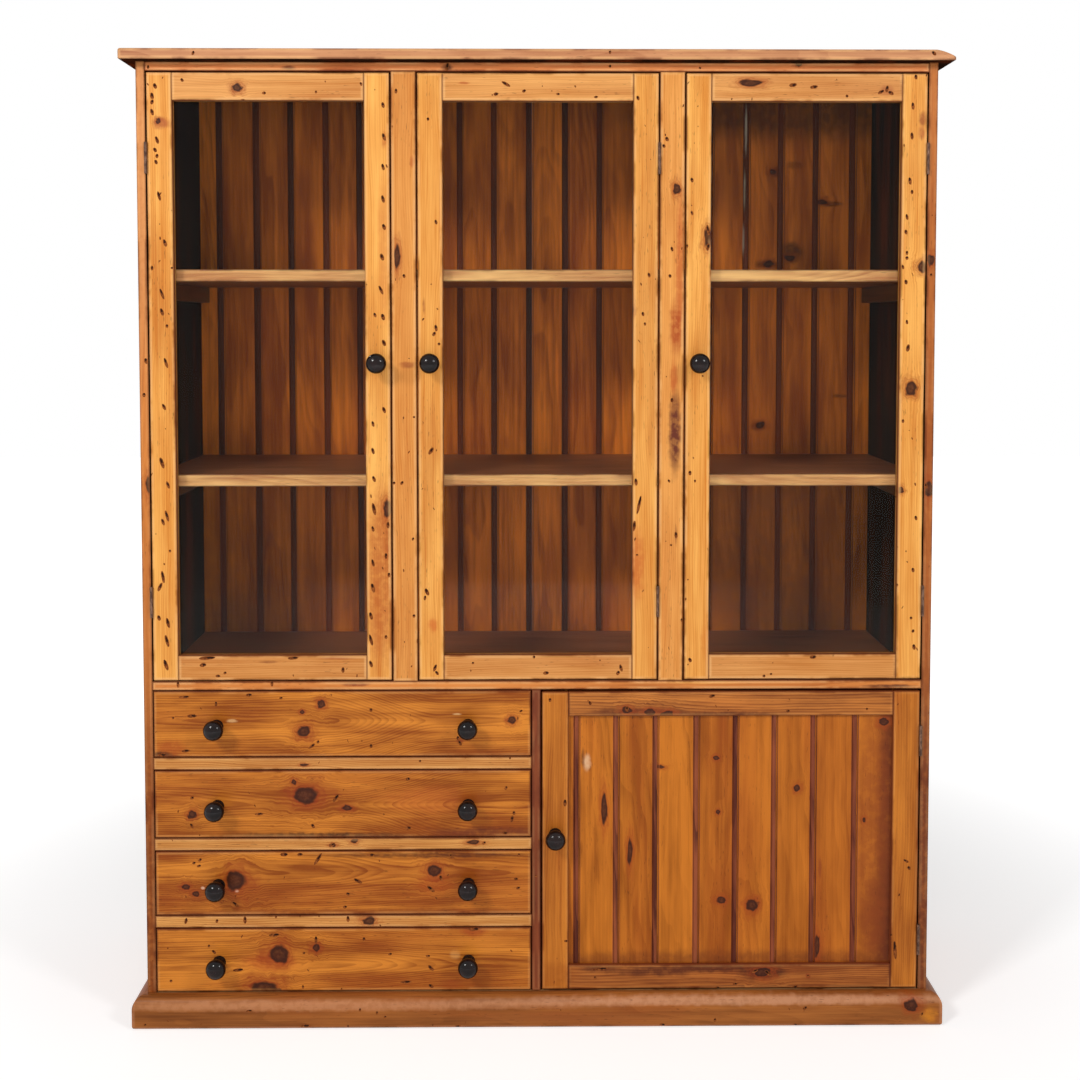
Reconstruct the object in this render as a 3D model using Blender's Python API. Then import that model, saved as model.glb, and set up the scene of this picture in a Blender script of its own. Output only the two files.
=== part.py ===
"""A pine cupboard with three glazed doors over four drawers and a boarded door.

Every piece is its own object, in metres, with +Z up and the front towards -Y. The origin
is on the floor, under the middle of the whole piece with its knobs. Each door and each
drawer hangs on an empty: a door's lies on its hinge pins, a drawer's at its front.
"""
import math

import bmesh
import bpy
from mathutils import Vector

# Carcase sizes
HEIGHT = 2.000
INNER_WIDTH = 1.583
DEPTH = 0.475
SIDE_THICK = 0.018
FIT_GAP = 0.0003
ARRIS = 0.0015
ARC_STEPS = 2

# Top board, with a thumbnail moulding that runs along the front and round the right end
TOP_BOARD_THICK = 0.022
TOP_OVERHANG = 0.027
THUMBNAIL_WIDTH = 0.020
THUMBNAIL_DROP = 0.015
LEFT_END_ROUND = 0.005
THUMBNAIL_STEPS = 5

# Plinth
PLINTH_HEIGHT = 0.066
PLINTH_THICK = 0.026
PLINTH_ROUND_WIDTH = 0.021
PLINTH_ROUND_DROP = 0.024
PLINTH_STEPS = 5

# Front framing and shelves
TOP_RAIL_HEIGHT = 0.019
MULLION_WIDTH = 0.050
FRAMING_THICK = 0.022
MID_BOARD_THICK = 0.018
BOTTOM_BOARD_THICK = 0.020
SHELF_THICK = 0.025
SHELF_LEVELS = {"shelf_lower": 0.424, "shelf_upper": 0.845}
SHELF_CLEARANCE = 0.006
CLEAT_THICK = 0.020
CLEAT_HEIGHT = 0.036
CLEAT_SETBACK = 0.015
CLEAT_EMBED = 0.002

# Matchboards: the back, and the panel of the lower door
BACK_THICK = 0.012
BACK_REBATE = 0.009
MATCH_PITCH = 0.0825
BACK_FIRST_JOINT = 0.051
PANEL_FIRST_JOINT = 0.018
PANEL_THICK = 0.010
JOINT_WIDTH = 0.0025
JOINT_DEPTH = 0.003
REAR_LINE_DEPTH = 0.0015
BEAD_WIDTH = 0.0065
BEAD_STEPS = 4
QUIRK_WIDTH = 0.0012
QUIRK_DEPTH = 0.0018

# Base: partition, drawers and lower door
PARTITION_THICK = 0.018
PARTITION_OFFSET = -0.004
DRAWER_OPENINGS = (0.1400, 0.1435, 0.1370, 0.1360)
DRAWER_RAIL_HEIGHT = 0.0255
DRAWER_RAIL_DEPTH = 0.045
RUNNER_WIDTH = 0.022
DRAWER_GAP = 0.002
DRAWER_FRONT_THICK = 0.020
DRAWER_SIDE_THICK = 0.012
DRAWER_BACK_CLEARANCE = 0.014
DRAWER_SIDE_DROP = 0.004
DRAWER_BOTTOM_THICK = 0.006
DRAWER_BOTTOM_RISE = 0.008
DRAWER_GROOVE = 0.004
DRAWER_BACK_DROP = 0.008
TAIL_COUNT = 3
TAIL_LENGTH = 0.013
TAIL_SHARE = 0.30
TAIL_SLOPE = 6.0

# Doors
DOOR_GAP = 0.003
DOOR_THICK = 0.022
STILE_WIDTH = 0.051
TOP_DOOR_RAIL = 0.056
BOTTOM_DOOR_RAIL = 0.051
GLASS_THICK = 0.003
GLASS_SETBACK = 0.014
LOWER_STILE_WIDTH = 0.055
LOWER_RAIL_HEIGHT = 0.051
LOWER_TOP_GAP = 0.005
PANEL_SETBACK = 0.008
GROOVE_DEPTH = 0.007
GROOVE_PLAY = 0.0005

# Butt hinges
HINGE_LENGTH = 0.0635
HINGE_FROM_TOP = 0.171
HINGE_FROM_BOTTOM = 0.162
LOWER_HINGE_FROM_END = 0.103
KNUCKLE_RADIUS = 0.003
KNUCKLE_COUNT = 5
KNUCKLE_SIDES = 12
KNUCKLE_GAP = 0.0004
PIN_RADIUS = 0.0012
PIN_PLAY = 0.0004
LEAF_GAP = 0.0004
LEAF_WIDTH = 0.018

# Turned knobs
KNOB_PROJECTION = 0.050
KNOB_HEAD_RADIUS = 0.0205
KNOB_HEAD_AT = 0.034
KNOB_UNDER_DEPTH = 0.010
KNOB_BASE_RADIUS = 0.0135
KNOB_NECK_RADIUS = 0.0095
KNOB_NECK_AT = 0.012
KNOB_SIDES = 16
SPIGOT_RADIUS = 0.005
SPIGOT_LENGTH = 0.011
DOOR_KNOB_LEVEL = 0.654
LOWER_KNOB_LEVEL = 0.330
DRAWER_KNOB_OFFSET = 0.258
DRAWER_KNOB_DROP = 0.004

# Planes and levels that follow from the sizes
INNER_X = INNER_WIDTH / 2
OUTER_X = INNER_X + SIDE_THICK
FRONT_Y = (KNOB_PROJECTION - DEPTH) / 2
BACK_Y = FRONT_Y + DEPTH
BOARDS_Y = BACK_Y - BACK_THICK
INSIDE_BACK_Y = BOARDS_Y - FIT_GAP
SHELF_Y = FRONT_Y + DOOR_THICK + SHELF_CLEARANCE
FLOOR_Z = PLINTH_HEIGHT
MID_UNDER_Z = FLOOR_Z + sum(DRAWER_OPENINGS) + DRAWER_RAIL_HEIGHT * (len(DRAWER_OPENINGS) - 1)
MID_TOP_Z = MID_UNDER_Z + MID_BOARD_THICK
TOP_UNDER_Z = HEIGHT - TOP_BOARD_THICK
DOOR_HEAD_Z = TOP_UNDER_Z - TOP_RAIL_HEIGHT
BAY_WIDTH = (INNER_WIDTH - 2 * MULLION_WIDTH) / 3
PARTITION_X = (PARTITION_OFFSET - PARTITION_THICK / 2, PARTITION_OFFSET + PARTITION_THICK / 2)
PIN_Y = FRONT_Y - KNUCKLE_RADIUS - FIT_GAP


def clear_scene():
    """Removes what the scene opens with."""
    for obj in list(bpy.data.objects):
        bpy.data.objects.remove(obj)


def finish(name, colour, roughness, metallic=0.0, transmission=0.0):
    """A plain material in the colour of one kind of surface."""
    mat = bpy.data.materials.new(name)
    mat.use_nodes = True
    shader = mat.node_tree.nodes["Principled BSDF"]
    shader.inputs["Base Color"].default_value = (*colour, 1.0)
    shader.inputs["Roughness"].default_value = roughness
    shader.inputs["Metallic"].default_value = metallic
    shader.inputs["Transmission Weight"].default_value = transmission
    mat.diffuse_color = (*colour, 1.0)
    return mat


# Shapes

def loft(loops, closed=False):
    """Skins matching loops of corners, with capped ends unless the last meets the first."""
    shape = bmesh.new()
    rings = [[shape.verts.new(corner) for corner in loop] for loop in loops]
    if closed:
        rings.append(rings[0])
    for near, far in zip(rings, rings[1:]):
        for index, corner in enumerate(near):
            after = (index + 1) % len(near)
            shape.faces.new((corner, near[after], far[after], far[index]))
    if not closed:
        shape.faces.new(rings[0])
        shape.faces.new(rings[-1])
    bmesh.ops.recalc_face_normals(shape, faces=shape.faces)
    return shape


def prism(outline, place, span):
    """Extrudes a flat outline of (u, v) from span[0] to span[1]; place(u, v, w) gives a point."""
    return loft([[place(u, v, w) for u, v in outline] for w in span])


def block(x, y, z):
    """A plain square-edged board between pairs of limits."""
    outline = ((x[0], y[0]), (x[1], y[0]), (x[1], y[1]), (x[0], y[1]))
    return prism(outline, lambda u, v, w: (u, v, w), z)


def upright(x, z, y, inset=0.0):
    """The corners of a rectangle that faces the front, drawn in on all four sides."""
    return (
        (x[0] + inset, y, z[0] + inset),
        (x[1] - inset, y, z[0] + inset),
        (x[1] - inset, y, z[1] - inset),
        (x[0] + inset, y, z[1] - inset),
    )


def rounded(radius, steps):
    """Pairs (set back, drawn in) round a quarter circle, from full size to the face."""
    turns = [math.pi / 2 * step / steps for step in range(steps + 1)]
    return [(radius * (1 - math.sin(turn)), radius * (1 - math.cos(turn))) for turn in turns]


def faced_board(x, y, z, ease=ARRIS):
    """A board whose front edges are rubbed round."""
    loops = [upright(x, z, y[1])]
    for back, inset in rounded(ease, ARC_STEPS):
        loops.append(upright(x, z, y[0] + back, inset))
    return loft(loops)


def grooved_frame(x, z, hole_x, hole_z, groove):
    """A door frame with its front arrises rubbed round, and a groove that holds its panel."""
    front, back = FRONT_Y, FRONT_Y + DOOR_THICK
    loops = [upright(x, z, back)]
    for set_back, inset in rounded(ARRIS, ARC_STEPS):
        loops.append(upright(x, z, front + set_back, inset))
    for set_back, inset in reversed(rounded(ARRIS, ARC_STEPS)):
        loops.append(upright(hole_x, hole_z, front + set_back, -inset))
    loops.append(upright(hole_x, hole_z, groove[0]))
    loops.append(upright(hole_x, hole_z, groove[0], -GROOVE_DEPTH))
    loops.append(upright(hole_x, hole_z, groove[1], -GROOVE_DEPTH))
    loops.append(upright(hole_x, hole_z, groove[1]))
    loops.append(upright(hole_x, hole_z, back))
    return loft(loops, closed=True)


def drum(radius, sides, centre, z):
    """An upright round bar."""
    turns = [2 * math.pi * side / sides for side in range(sides)]
    outline = [(centre[0] + radius * math.cos(t), centre[1] + radius * math.sin(t)) for t in turns]
    return prism(outline, lambda u, v, w: (u, v, w), z)


def turned(profile, sides):
    """Spins (radius, distance) pairs round the Y axis, on which the profile starts and ends."""
    shape = bmesh.new()
    corners = [shape.verts.new((radius, -distance, 0)) for radius, distance in profile]
    edges = [shape.edges.new(pair) for pair in zip(corners, corners[1:])]
    bmesh.ops.spin(
        shape, geom=corners + edges, cent=(0, 0, 0), axis=(0, 1, 0),
        angle=2 * math.pi, steps=sides, use_merge=True,
    )
    bmesh.ops.remove_doubles(shape, verts=shape.verts, dist=1e-6)
    bmesh.ops.recalc_face_normals(shape, faces=shape.faces)
    return shape


def scratch_object(shape):
    """Puts a shape in the scene for the time of one Boolean."""
    mesh = bpy.data.meshes.new("scratch")
    shape.to_mesh(mesh)
    obj = bpy.data.objects.new("scratch", mesh)
    bpy.context.scene.collection.objects.link(obj)
    return obj


def combine(operation, shape, *tools):
    """Unites the tools with the shape, or cuts them from it, and gives the new shape."""
    used = [scratch_object(each) for each in (shape, *tools)]
    for tool in used[1:]:
        step = used[0].modifiers.new("step", "BOOLEAN")
        step.operation = operation
        step.object = tool
    depsgraph = bpy.context.evaluated_depsgraph_get()
    mesh = bpy.data.meshes.new_from_object(used[0].evaluated_get(depsgraph))
    result = bmesh.new()
    result.from_mesh(mesh)
    bmesh.ops.remove_doubles(result, verts=result.verts, dist=1e-6)
    bpy.data.meshes.remove(mesh)
    for obj in used:
        old = obj.data
        bpy.data.objects.remove(obj)
        bpy.data.meshes.remove(old)
    return result


# Placing

def axis_empty(name, place):
    """The empty that a door or a drawer moves with."""
    empty = bpy.data.objects.new(name, None)
    empty.empty_display_size = 0.05
    empty.location = place
    bpy.context.scene.collection.objects.link(empty)
    return empty


def as_mesh(name, shape):
    """Turns a shape into a mesh that several pieces may share."""
    mesh = bpy.data.meshes.new(name)
    shape.to_mesh(mesh)
    shape.free()
    return mesh


def add_piece(name, shape, mat, carrier=None, at=(0, 0, 0), smooth=False):
    """Adds one piece, at its place in the whole, carried by an empty if it moves."""
    mesh = as_mesh(name, shape) if isinstance(shape, bmesh.types.BMesh) else shape
    if not mesh.materials:
        mesh.materials.append(mat)
    if smooth:
        mesh.shade_smooth()
        mesh.set_sharp_from_angle(angle=math.radians(40))
    obj = bpy.data.objects.new(name, mesh)
    bpy.context.scene.collection.objects.link(obj)
    obj.location = Vector(at)
    if carrier:
        obj.parent = carrier
        obj.location = Vector(at) - carrier.location
    return obj


# Carcase

def side_board(sign):
    """A full-height side, rebated for the back, with a nailed cleat under each shelf."""
    inner, outer = INNER_X, OUTER_X
    rebate = inner + BACK_REBATE
    outline = [(inner, BOARDS_Y)]
    outline += [(inner + inset, FRONT_Y + back) for back, inset in rounded(ARRIS, ARC_STEPS)]
    outline += [(outer - inset, FRONT_Y + back) for back, inset in reversed(rounded(ARRIS, ARC_STEPS))]
    outline += [(outer, BACK_Y), (rebate, BACK_Y), (rebate, BOARDS_Y)]
    board = prism(outline, lambda u, v, w: (sign * u, v, w), (0.0, TOP_UNDER_Z - FIT_GAP))
    cleats = []
    for level in SHELF_LEVELS.values():
        top = MID_TOP_Z + level - SHELF_THICK - FIT_GAP
        x = sorted((sign * (inner - CLEAT_THICK), sign * (inner + CLEAT_EMBED)))
        cleats.append(block(x, (SHELF_Y + CLEAT_SETBACK, INSIDE_BACK_Y), (top - CLEAT_HEIGHT, top)))
    return combine("UNION", board, *cleats)


def top_board():
    """The top, with its thumbnail moulding on the front and right, and an eased left end."""
    levels = [(0.0, 0.0, 0.0), (TOP_BOARD_THICK - THUMBNAIL_DROP, 0.0, 0.0)]
    for step in range(1, THUMBNAIL_STEPS + 1):
        turn = math.pi / 2 * step / THUMBNAIL_STEPS
        rise = TOP_BOARD_THICK - THUMBNAIL_DROP * (1 - math.sin(turn))
        inset = THUMBNAIL_WIDTH * (1 - math.cos(turn))
        into_round = max(0.0, rise - (TOP_BOARD_THICK - LEFT_END_ROUND)) / LEFT_END_ROUND
        left_inset = LEFT_END_ROUND * (1 - math.sqrt(max(0.0, 1 - into_round ** 2)))
        levels.append((rise, inset, left_inset))
    reach = OUTER_X + TOP_OVERHANG
    loops = []
    for rise, inset, left_inset in levels:
        z = TOP_UNDER_Z + rise
        front = FRONT_Y - TOP_OVERHANG + inset
        left, right = -reach + left_inset, reach - inset
        loops.append(((left, front, z), (right, front, z), (right, BACK_Y, z), (left, BACK_Y, z)))
    return loft(loops)


def plinth():
    """The plinth: a mitred skirting with a rounded top edge, round the front and both sides."""
    levels = [(0.0, PLINTH_THICK)]
    for step in range(PLINTH_STEPS + 1):
        turn = math.pi / 2 * step / PLINTH_STEPS
        rise = PLINTH_HEIGHT - PLINTH_ROUND_DROP * (1 - math.sin(turn))
        levels.append((rise, PLINTH_THICK - PLINTH_ROUND_WIDTH * (1 - math.cos(turn))))
    loops = []
    for z, reach in levels:
        out_x, in_x = OUTER_X + reach, OUTER_X + FIT_GAP
        out_y, in_y = FRONT_Y - reach, FRONT_Y - FIT_GAP
        loops.append((
            (-out_x, BACK_Y, z), (-out_x, out_y, z), (out_x, out_y, z), (out_x, BACK_Y, z),
            (in_x, BACK_Y, z), (in_x, in_y, z), (-in_x, in_y, z), (-in_x, BACK_Y, z),
        ))
    return loft(loops)


def matchboards(x, z, y, first_joint):
    """Tongued boards glued up side by side: at each joint a quirk, a bead and an open line."""
    front, back = y
    bead_radius = BEAD_WIDTH / 2
    count = int((x[1] - GROOVE_DEPTH - JOINT_WIDTH - x[0] - first_joint) / MATCH_PITCH) + 1
    joints = [x[0] + first_joint + number * MATCH_PITCH for number in range(count)]
    outline = [(x[0], front)]
    for joint in joints:
        start = joint - BEAD_WIDTH
        outline.append((start - QUIRK_WIDTH, front))
        for step in range(BEAD_STEPS + 1):
            turn = math.pi * step / BEAD_STEPS
            drop = QUIRK_DEPTH * (1 - math.sin(turn))
            outline.append((start + bead_radius * (1 - math.cos(turn)), front + drop))
        outline += [(joint, front + JOINT_DEPTH), (joint + JOINT_WIDTH, front + JOINT_DEPTH)]
        outline.append((joint + JOINT_WIDTH, front))
    outline += [(x[1], front), (x[1], back)]
    for joint in reversed(joints):
        outline.append((joint + JOINT_WIDTH, back))
        outline.append((joint + JOINT_WIDTH / 2, back - REAR_LINE_DEPTH))
        outline.append((joint, back))
    outline.append((x[0], back))
    return prism(outline, lambda u, v, w: (u, v, w), z)


def shelf(level):
    """A loose shelf that lies on its two cleats, with a rubbed front edge."""
    top = MID_TOP_Z + level
    x = (-INNER_X + FIT_GAP, INNER_X - FIT_GAP)
    return faced_board(x, (SHELF_Y, INSIDE_BACK_Y), (top - SHELF_THICK, top))


def drawer_frame(z):
    """A rail between two drawers, with the runner behind each of its ends."""
    x = (-INNER_X + FIT_GAP, PARTITION_X[0] - FIT_GAP)
    rail = faced_board(x, (FRONT_Y, FRONT_Y + DRAWER_RAIL_DEPTH), z)
    behind = (FRONT_Y + DRAWER_RAIL_DEPTH / 2, INSIDE_BACK_Y)
    left = block((x[0], x[0] + RUNNER_WIDTH), behind, z)
    right = block((x[1] - RUNNER_WIDTH, x[1]), behind, z)
    return combine("UNION", rail, left, right)


def build_carcase(pine, dark_pine, pale_pine):
    """Adds everything that stands still, apart from the hinges."""
    inside = (-INNER_X + FIT_GAP, INNER_X - FIT_GAP)
    add_piece("side_left", side_board(-1), pine)
    add_piece("side_right", side_board(1), pine)
    add_piece("top_board", top_board(), pine)
    add_piece("plinth", plinth(), dark_pine)
    rebate_x = INNER_X + BACK_REBATE - FIT_GAP
    boards = matchboards(
        (-rebate_x, rebate_x), (0.0, TOP_UNDER_Z - FIT_GAP), (BOARDS_Y, BACK_Y), BACK_FIRST_JOINT,
    )
    add_piece("back_boards", boards, dark_pine)
    bottom_z = (FLOOR_Z - BOTTOM_BOARD_THICK, FLOOR_Z)
    add_piece("bottom_board", faced_board(inside, (FRONT_Y, INSIDE_BACK_Y), bottom_z), pine)
    mid_z = (MID_UNDER_Z, MID_TOP_Z)
    add_piece("mid_board", faced_board(inside, (FRONT_Y, INSIDE_BACK_Y), mid_z), pine)
    framing_y = (FRONT_Y, FRONT_Y + FRAMING_THICK)
    rail_z = (DOOR_HEAD_Z, TOP_UNDER_Z - FIT_GAP)
    add_piece("top_rail", faced_board(inside, framing_y, rail_z), pine)
    post_z = (MID_TOP_Z + FIT_GAP, DOOR_HEAD_Z - FIT_GAP)
    for number, name in enumerate(("mullion_left", "mullion_right")):
        left = -INNER_X + BAY_WIDTH + number * (BAY_WIDTH + MULLION_WIDTH)
        add_piece(name, faced_board((left, left + MULLION_WIDTH), framing_y, post_z), pine)
    for name, level in SHELF_LEVELS.items():
        add_piece(name, shelf(level), pale_pine)
    stand_z = (FLOOR_Z + FIT_GAP, MID_UNDER_Z - FIT_GAP)
    add_piece("partition", faced_board(PARTITION_X, (FRONT_Y, INSIDE_BACK_Y), stand_z), dark_pine)
    for number, z in enumerate(drawer_levels()[:-1], start=1):
        rail_z = (z[0] - DRAWER_RAIL_HEIGHT, z[0])
        add_piece(f"drawer_frame_{number}", drawer_frame(rail_z), dark_pine)


# Hinges

def knuckle_spans():
    """The height limits of each knuckle along a hinge whose middle is at zero."""
    pitch = HINGE_LENGTH / KNUCKLE_COUNT
    starts = [-HINGE_LENGTH / 2 + number * pitch for number in range(KNUCKLE_COUNT)]
    return [(start + KNUCKLE_GAP / 2, start + pitch - KNUCKLE_GAP / 2) for start in starts]


def hinge_half(own, side, with_pin):
    """One leaf with its own knuckles; side is +1 or -1, where the leaf lies from the pin."""
    leaf_x = sorted((side * LEAF_GAP / 2, side * (DOOR_GAP / 2 - FIT_GAP)))
    leaf_y = (KNUCKLE_RADIUS + FIT_GAP, KNUCKLE_RADIUS + FIT_GAP + LEAF_WIDTH)
    whole = (-HINGE_LENGTH / 2 + KNUCKLE_GAP / 2, HINGE_LENGTH / 2 - KNUCKLE_GAP / 2)
    half = block(leaf_x, leaf_y, whole)
    for span in own:
        barrel = drum(KNUCKLE_RADIUS, KNUCKLE_SIDES, (0, 0), span)
        arm = block(leaf_x, (0, leaf_y[0] + LEAF_GAP), span)
        half = combine("UNION", half, arm, barrel)
    if with_pin:
        inner = (own[0][0] + KNUCKLE_GAP, own[-1][1] - KNUCKLE_GAP)
        return combine("UNION", half, drum(PIN_RADIUS, KNUCKLE_SIDES, (0, 0), inner))
    bore = drum(PIN_RADIUS + PIN_PLAY, KNUCKLE_SIDES, (0, 0), whole)
    return combine("DIFFERENCE", half, bore)


def hinge_meshes(metal):
    """The two halves, for a door hung on its left (+1) or on its right (-1)."""
    spans = knuckle_spans()
    meshes = {}
    for hand in (1, -1):
        fixed = hinge_half(spans[0::2], -hand, with_pin=True)
        swinging = hinge_half(spans[1::2], hand, with_pin=False)
        meshes[hand] = (as_mesh("frame_leaf", fixed), as_mesh("door_leaf", swinging))
        for mesh in meshes[hand]:
            mesh.materials.append(metal)
    return meshes


# Knobs

def knob_profile():
    """A flared foot, a hollow neck and a round head, with the spigot that holds it."""
    points = [(0.0, -SPIGOT_LENGTH), (SPIGOT_RADIUS, -SPIGOT_LENGTH), (SPIGOT_RADIUS, FIT_GAP)]
    flare = KNOB_BASE_RADIUS - KNOB_NECK_RADIUS
    foot_steps = 2
    for step in range(foot_steps + 1):
        share = step / foot_steps
        radius = KNOB_NECK_RADIUS + flare * (1 - math.sin(math.pi / 2 * share))
        points.append((radius, FIT_GAP + (KNOB_NECK_AT - FIT_GAP) * share))
    under_start = KNOB_HEAD_AT - KNOB_UNDER_DEPTH
    points.append((KNOB_NECK_RADIUS, (KNOB_NECK_AT + under_start) / 2))
    under_steps = 3
    for step in range(under_steps + 1):
        turn = math.pi / 2 * step / under_steps
        radius = KNOB_NECK_RADIUS + (KNOB_HEAD_RADIUS - KNOB_NECK_RADIUS) * math.sin(turn)
        points.append((radius, KNOB_HEAD_AT - KNOB_UNDER_DEPTH * math.cos(turn)))
    crown_steps = 4
    for step in range(1, crown_steps + 1):
        turn = math.pi / 2 * step / crown_steps
        crown = KNOB_PROJECTION - KNOB_HEAD_AT
        radius = 0.0 if step == crown_steps else KNOB_HEAD_RADIUS * math.cos(turn)
        points.append((radius, KNOB_HEAD_AT + crown * math.sin(turn)))
    return points


def spigot_hole(x, z):
    """The hole that a knob's spigot goes into."""
    hole = SPIGOT_RADIUS + FIT_GAP
    turns = [2 * math.pi * side / KNOB_SIDES for side in range(KNOB_SIDES)]
    outline = [(x + hole * math.cos(turn), z + hole * math.sin(turn)) for turn in turns]
    y = (FRONT_Y - FIT_GAP, FRONT_Y + SPIGOT_LENGTH + FIT_GAP)
    return prism(outline, lambda u, v, w: (u, w, v), y)


# Doors

def build_door(name, bay_x, bay_z, hand, infill, rails, stile, hinge_levels, knob_z, parts):
    """Adds a framed door with its glass or boards, its knob and both halves of its hinges."""
    wood, knob_mesh, knob_finish, hinges = parts
    x = (bay_x[0] + DOOR_GAP, bay_x[1] - DOOR_GAP)
    hole_x = (x[0] + stile, x[1] - stile)
    hole_z = (bay_z[0] + rails[0], bay_z[1] - rails[1])
    pin_x = (bay_x[0] if hand == 1 else bay_x[1]) + hand * DOOR_GAP / 2
    carrier = axis_empty(f"axis_{name}", (pin_x, PIN_Y, bay_z[0]))
    infill_name, infill_y, make_infill, infill_mat = infill
    groove = (infill_y[0] - FIT_GAP, infill_y[1] + FIT_GAP)
    knob_x = x[1] - stile / 2 if hand == 1 else x[0] + stile / 2
    frame = grooved_frame(x, bay_z, hole_x, hole_z, groove)
    frame = combine("DIFFERENCE", frame, spigot_hole(knob_x, knob_z))
    add_piece(f"{name}_frame", frame, wood, carrier)
    reach = GROOVE_DEPTH - GROOVE_PLAY
    fill_x = (hole_x[0] - reach, hole_x[1] + reach)
    fill_z = (hole_z[0] - reach, hole_z[1] + reach)
    add_piece(f"{name}_{infill_name}", make_infill(fill_x, fill_z, infill_y), infill_mat, carrier)
    add_piece(f"{name}_knob", knob_mesh, knob_finish, carrier, (knob_x, FRONT_Y, knob_z), True)
    frame_leaf, door_leaf = hinges[hand]
    for place, level in zip(("bottom", "top"), hinge_levels):
        at = (pin_x, PIN_Y, level)
        add_piece(f"{name}_hinge_{place}_frame_leaf", frame_leaf, None, None, at)
        add_piece(f"{name}_hinge_{place}_door_leaf", door_leaf, None, carrier, at)


def build_doors(pine, base_pine, board_pine, glass, knob_mesh, knob_finish, hinges):
    """Adds the three glazed doors and the boarded one."""
    glazed_z = (MID_TOP_Z + DOOR_GAP, DOOR_HEAD_Z - DOOR_GAP)
    glass_y = (FRONT_Y + GLASS_SETBACK, FRONT_Y + GLASS_SETBACK + GLASS_THICK)
    pane = ("glass", glass_y, lambda x, z, y: block(x, y, z), glass)
    levels = (glazed_z[0] + HINGE_FROM_BOTTOM, glazed_z[1] - HINGE_FROM_TOP)
    knob_z = MID_TOP_Z + DOOR_KNOB_LEVEL
    rails = (BOTTOM_DOOR_RAIL, TOP_DOOR_RAIL)
    parts = (pine, knob_mesh, knob_finish, hinges)
    for number, (name, hand) in enumerate((("door_left", 1), ("door_middle", -1), ("door_right", -1))):
        left = -INNER_X + number * (BAY_WIDTH + MULLION_WIDTH)
        bay_x = (left, left + BAY_WIDTH)
        build_door(name, bay_x, glazed_z, hand, pane, rails, STILE_WIDTH, levels, knob_z, parts)
    lower_z = (FLOOR_Z + DOOR_GAP, MID_UNDER_Z - LOWER_TOP_GAP)
    panel_y = (FRONT_Y + PANEL_SETBACK, FRONT_Y + PANEL_SETBACK + PANEL_THICK)
    first = PANEL_FIRST_JOINT + GROOVE_DEPTH
    panel = ("panel", panel_y, lambda x, z, y: matchboards(x, z, y, first), board_pine)
    levels = (lower_z[0] + LOWER_HINGE_FROM_END, lower_z[1] - LOWER_HINGE_FROM_END)
    knob_z = FLOOR_Z + LOWER_KNOB_LEVEL
    rails = (LOWER_RAIL_HEIGHT, LOWER_RAIL_HEIGHT)
    parts = (base_pine, knob_mesh, knob_finish, hinges)
    bay_x = (PARTITION_X[1], INNER_X)
    build_door("door_lower", bay_x, lower_z, -1, panel, rails, LOWER_STILE_WIDTH, levels, knob_z, parts)


# Drawers

def drawer_levels():
    """The height limits of each drawer's opening, from the top one down."""
    levels = []
    top = MID_UNDER_Z
    for height in DRAWER_OPENINGS:
        levels.append((top - height, top))
        top -= height + DRAWER_RAIL_HEIGHT
    return levels


def tail_middles(z):
    """The heights at the middles of the dovetails between two limits."""
    pitch = (z[1] - z[0]) / TAIL_COUNT
    return [z[0] + (number + 0.5) * pitch for number in range(TAIL_COUNT)], pitch * TAIL_SHARE


def side_outline(y, z, tail_z):
    """A drawer side seen from its face, with dovetails on its front end."""
    shoulder, back = y
    outline = [(back, z[0]), (shoulder, z[0])]
    middles, half = tail_middles(tail_z)
    spread = TAIL_LENGTH / TAIL_SLOPE
    for middle in middles:
        outline.append((shoulder, middle - half))
        outline.append((shoulder - TAIL_LENGTH, middle - half - spread))
        outline.append((shoulder - TAIL_LENGTH, middle + half + spread))
        outline.append((shoulder, middle + half))
    return outline + [(shoulder, z[1]), (back, z[1])]


def sockets(x, shoulder, tail_z):
    """The hollows in a drawer front that its side's dovetails fill."""
    middles, half = tail_middles(tail_z)
    half += FIT_GAP
    deep = TAIL_LENGTH + FIT_GAP
    spread = TAIL_LENGTH / TAIL_SLOPE
    cutters = []
    for middle in middles:
        outline = (
            (shoulder + FIT_GAP, middle - half), (shoulder, middle - half),
            (shoulder - deep, middle - half - spread), (shoulder - deep, middle + half + spread),
            (shoulder, middle + half), (shoulder + FIT_GAP, middle + half),
        )
        cutters.append(prism(outline, lambda u, v, w: (w, u, v), x))
    return cutters


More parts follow.
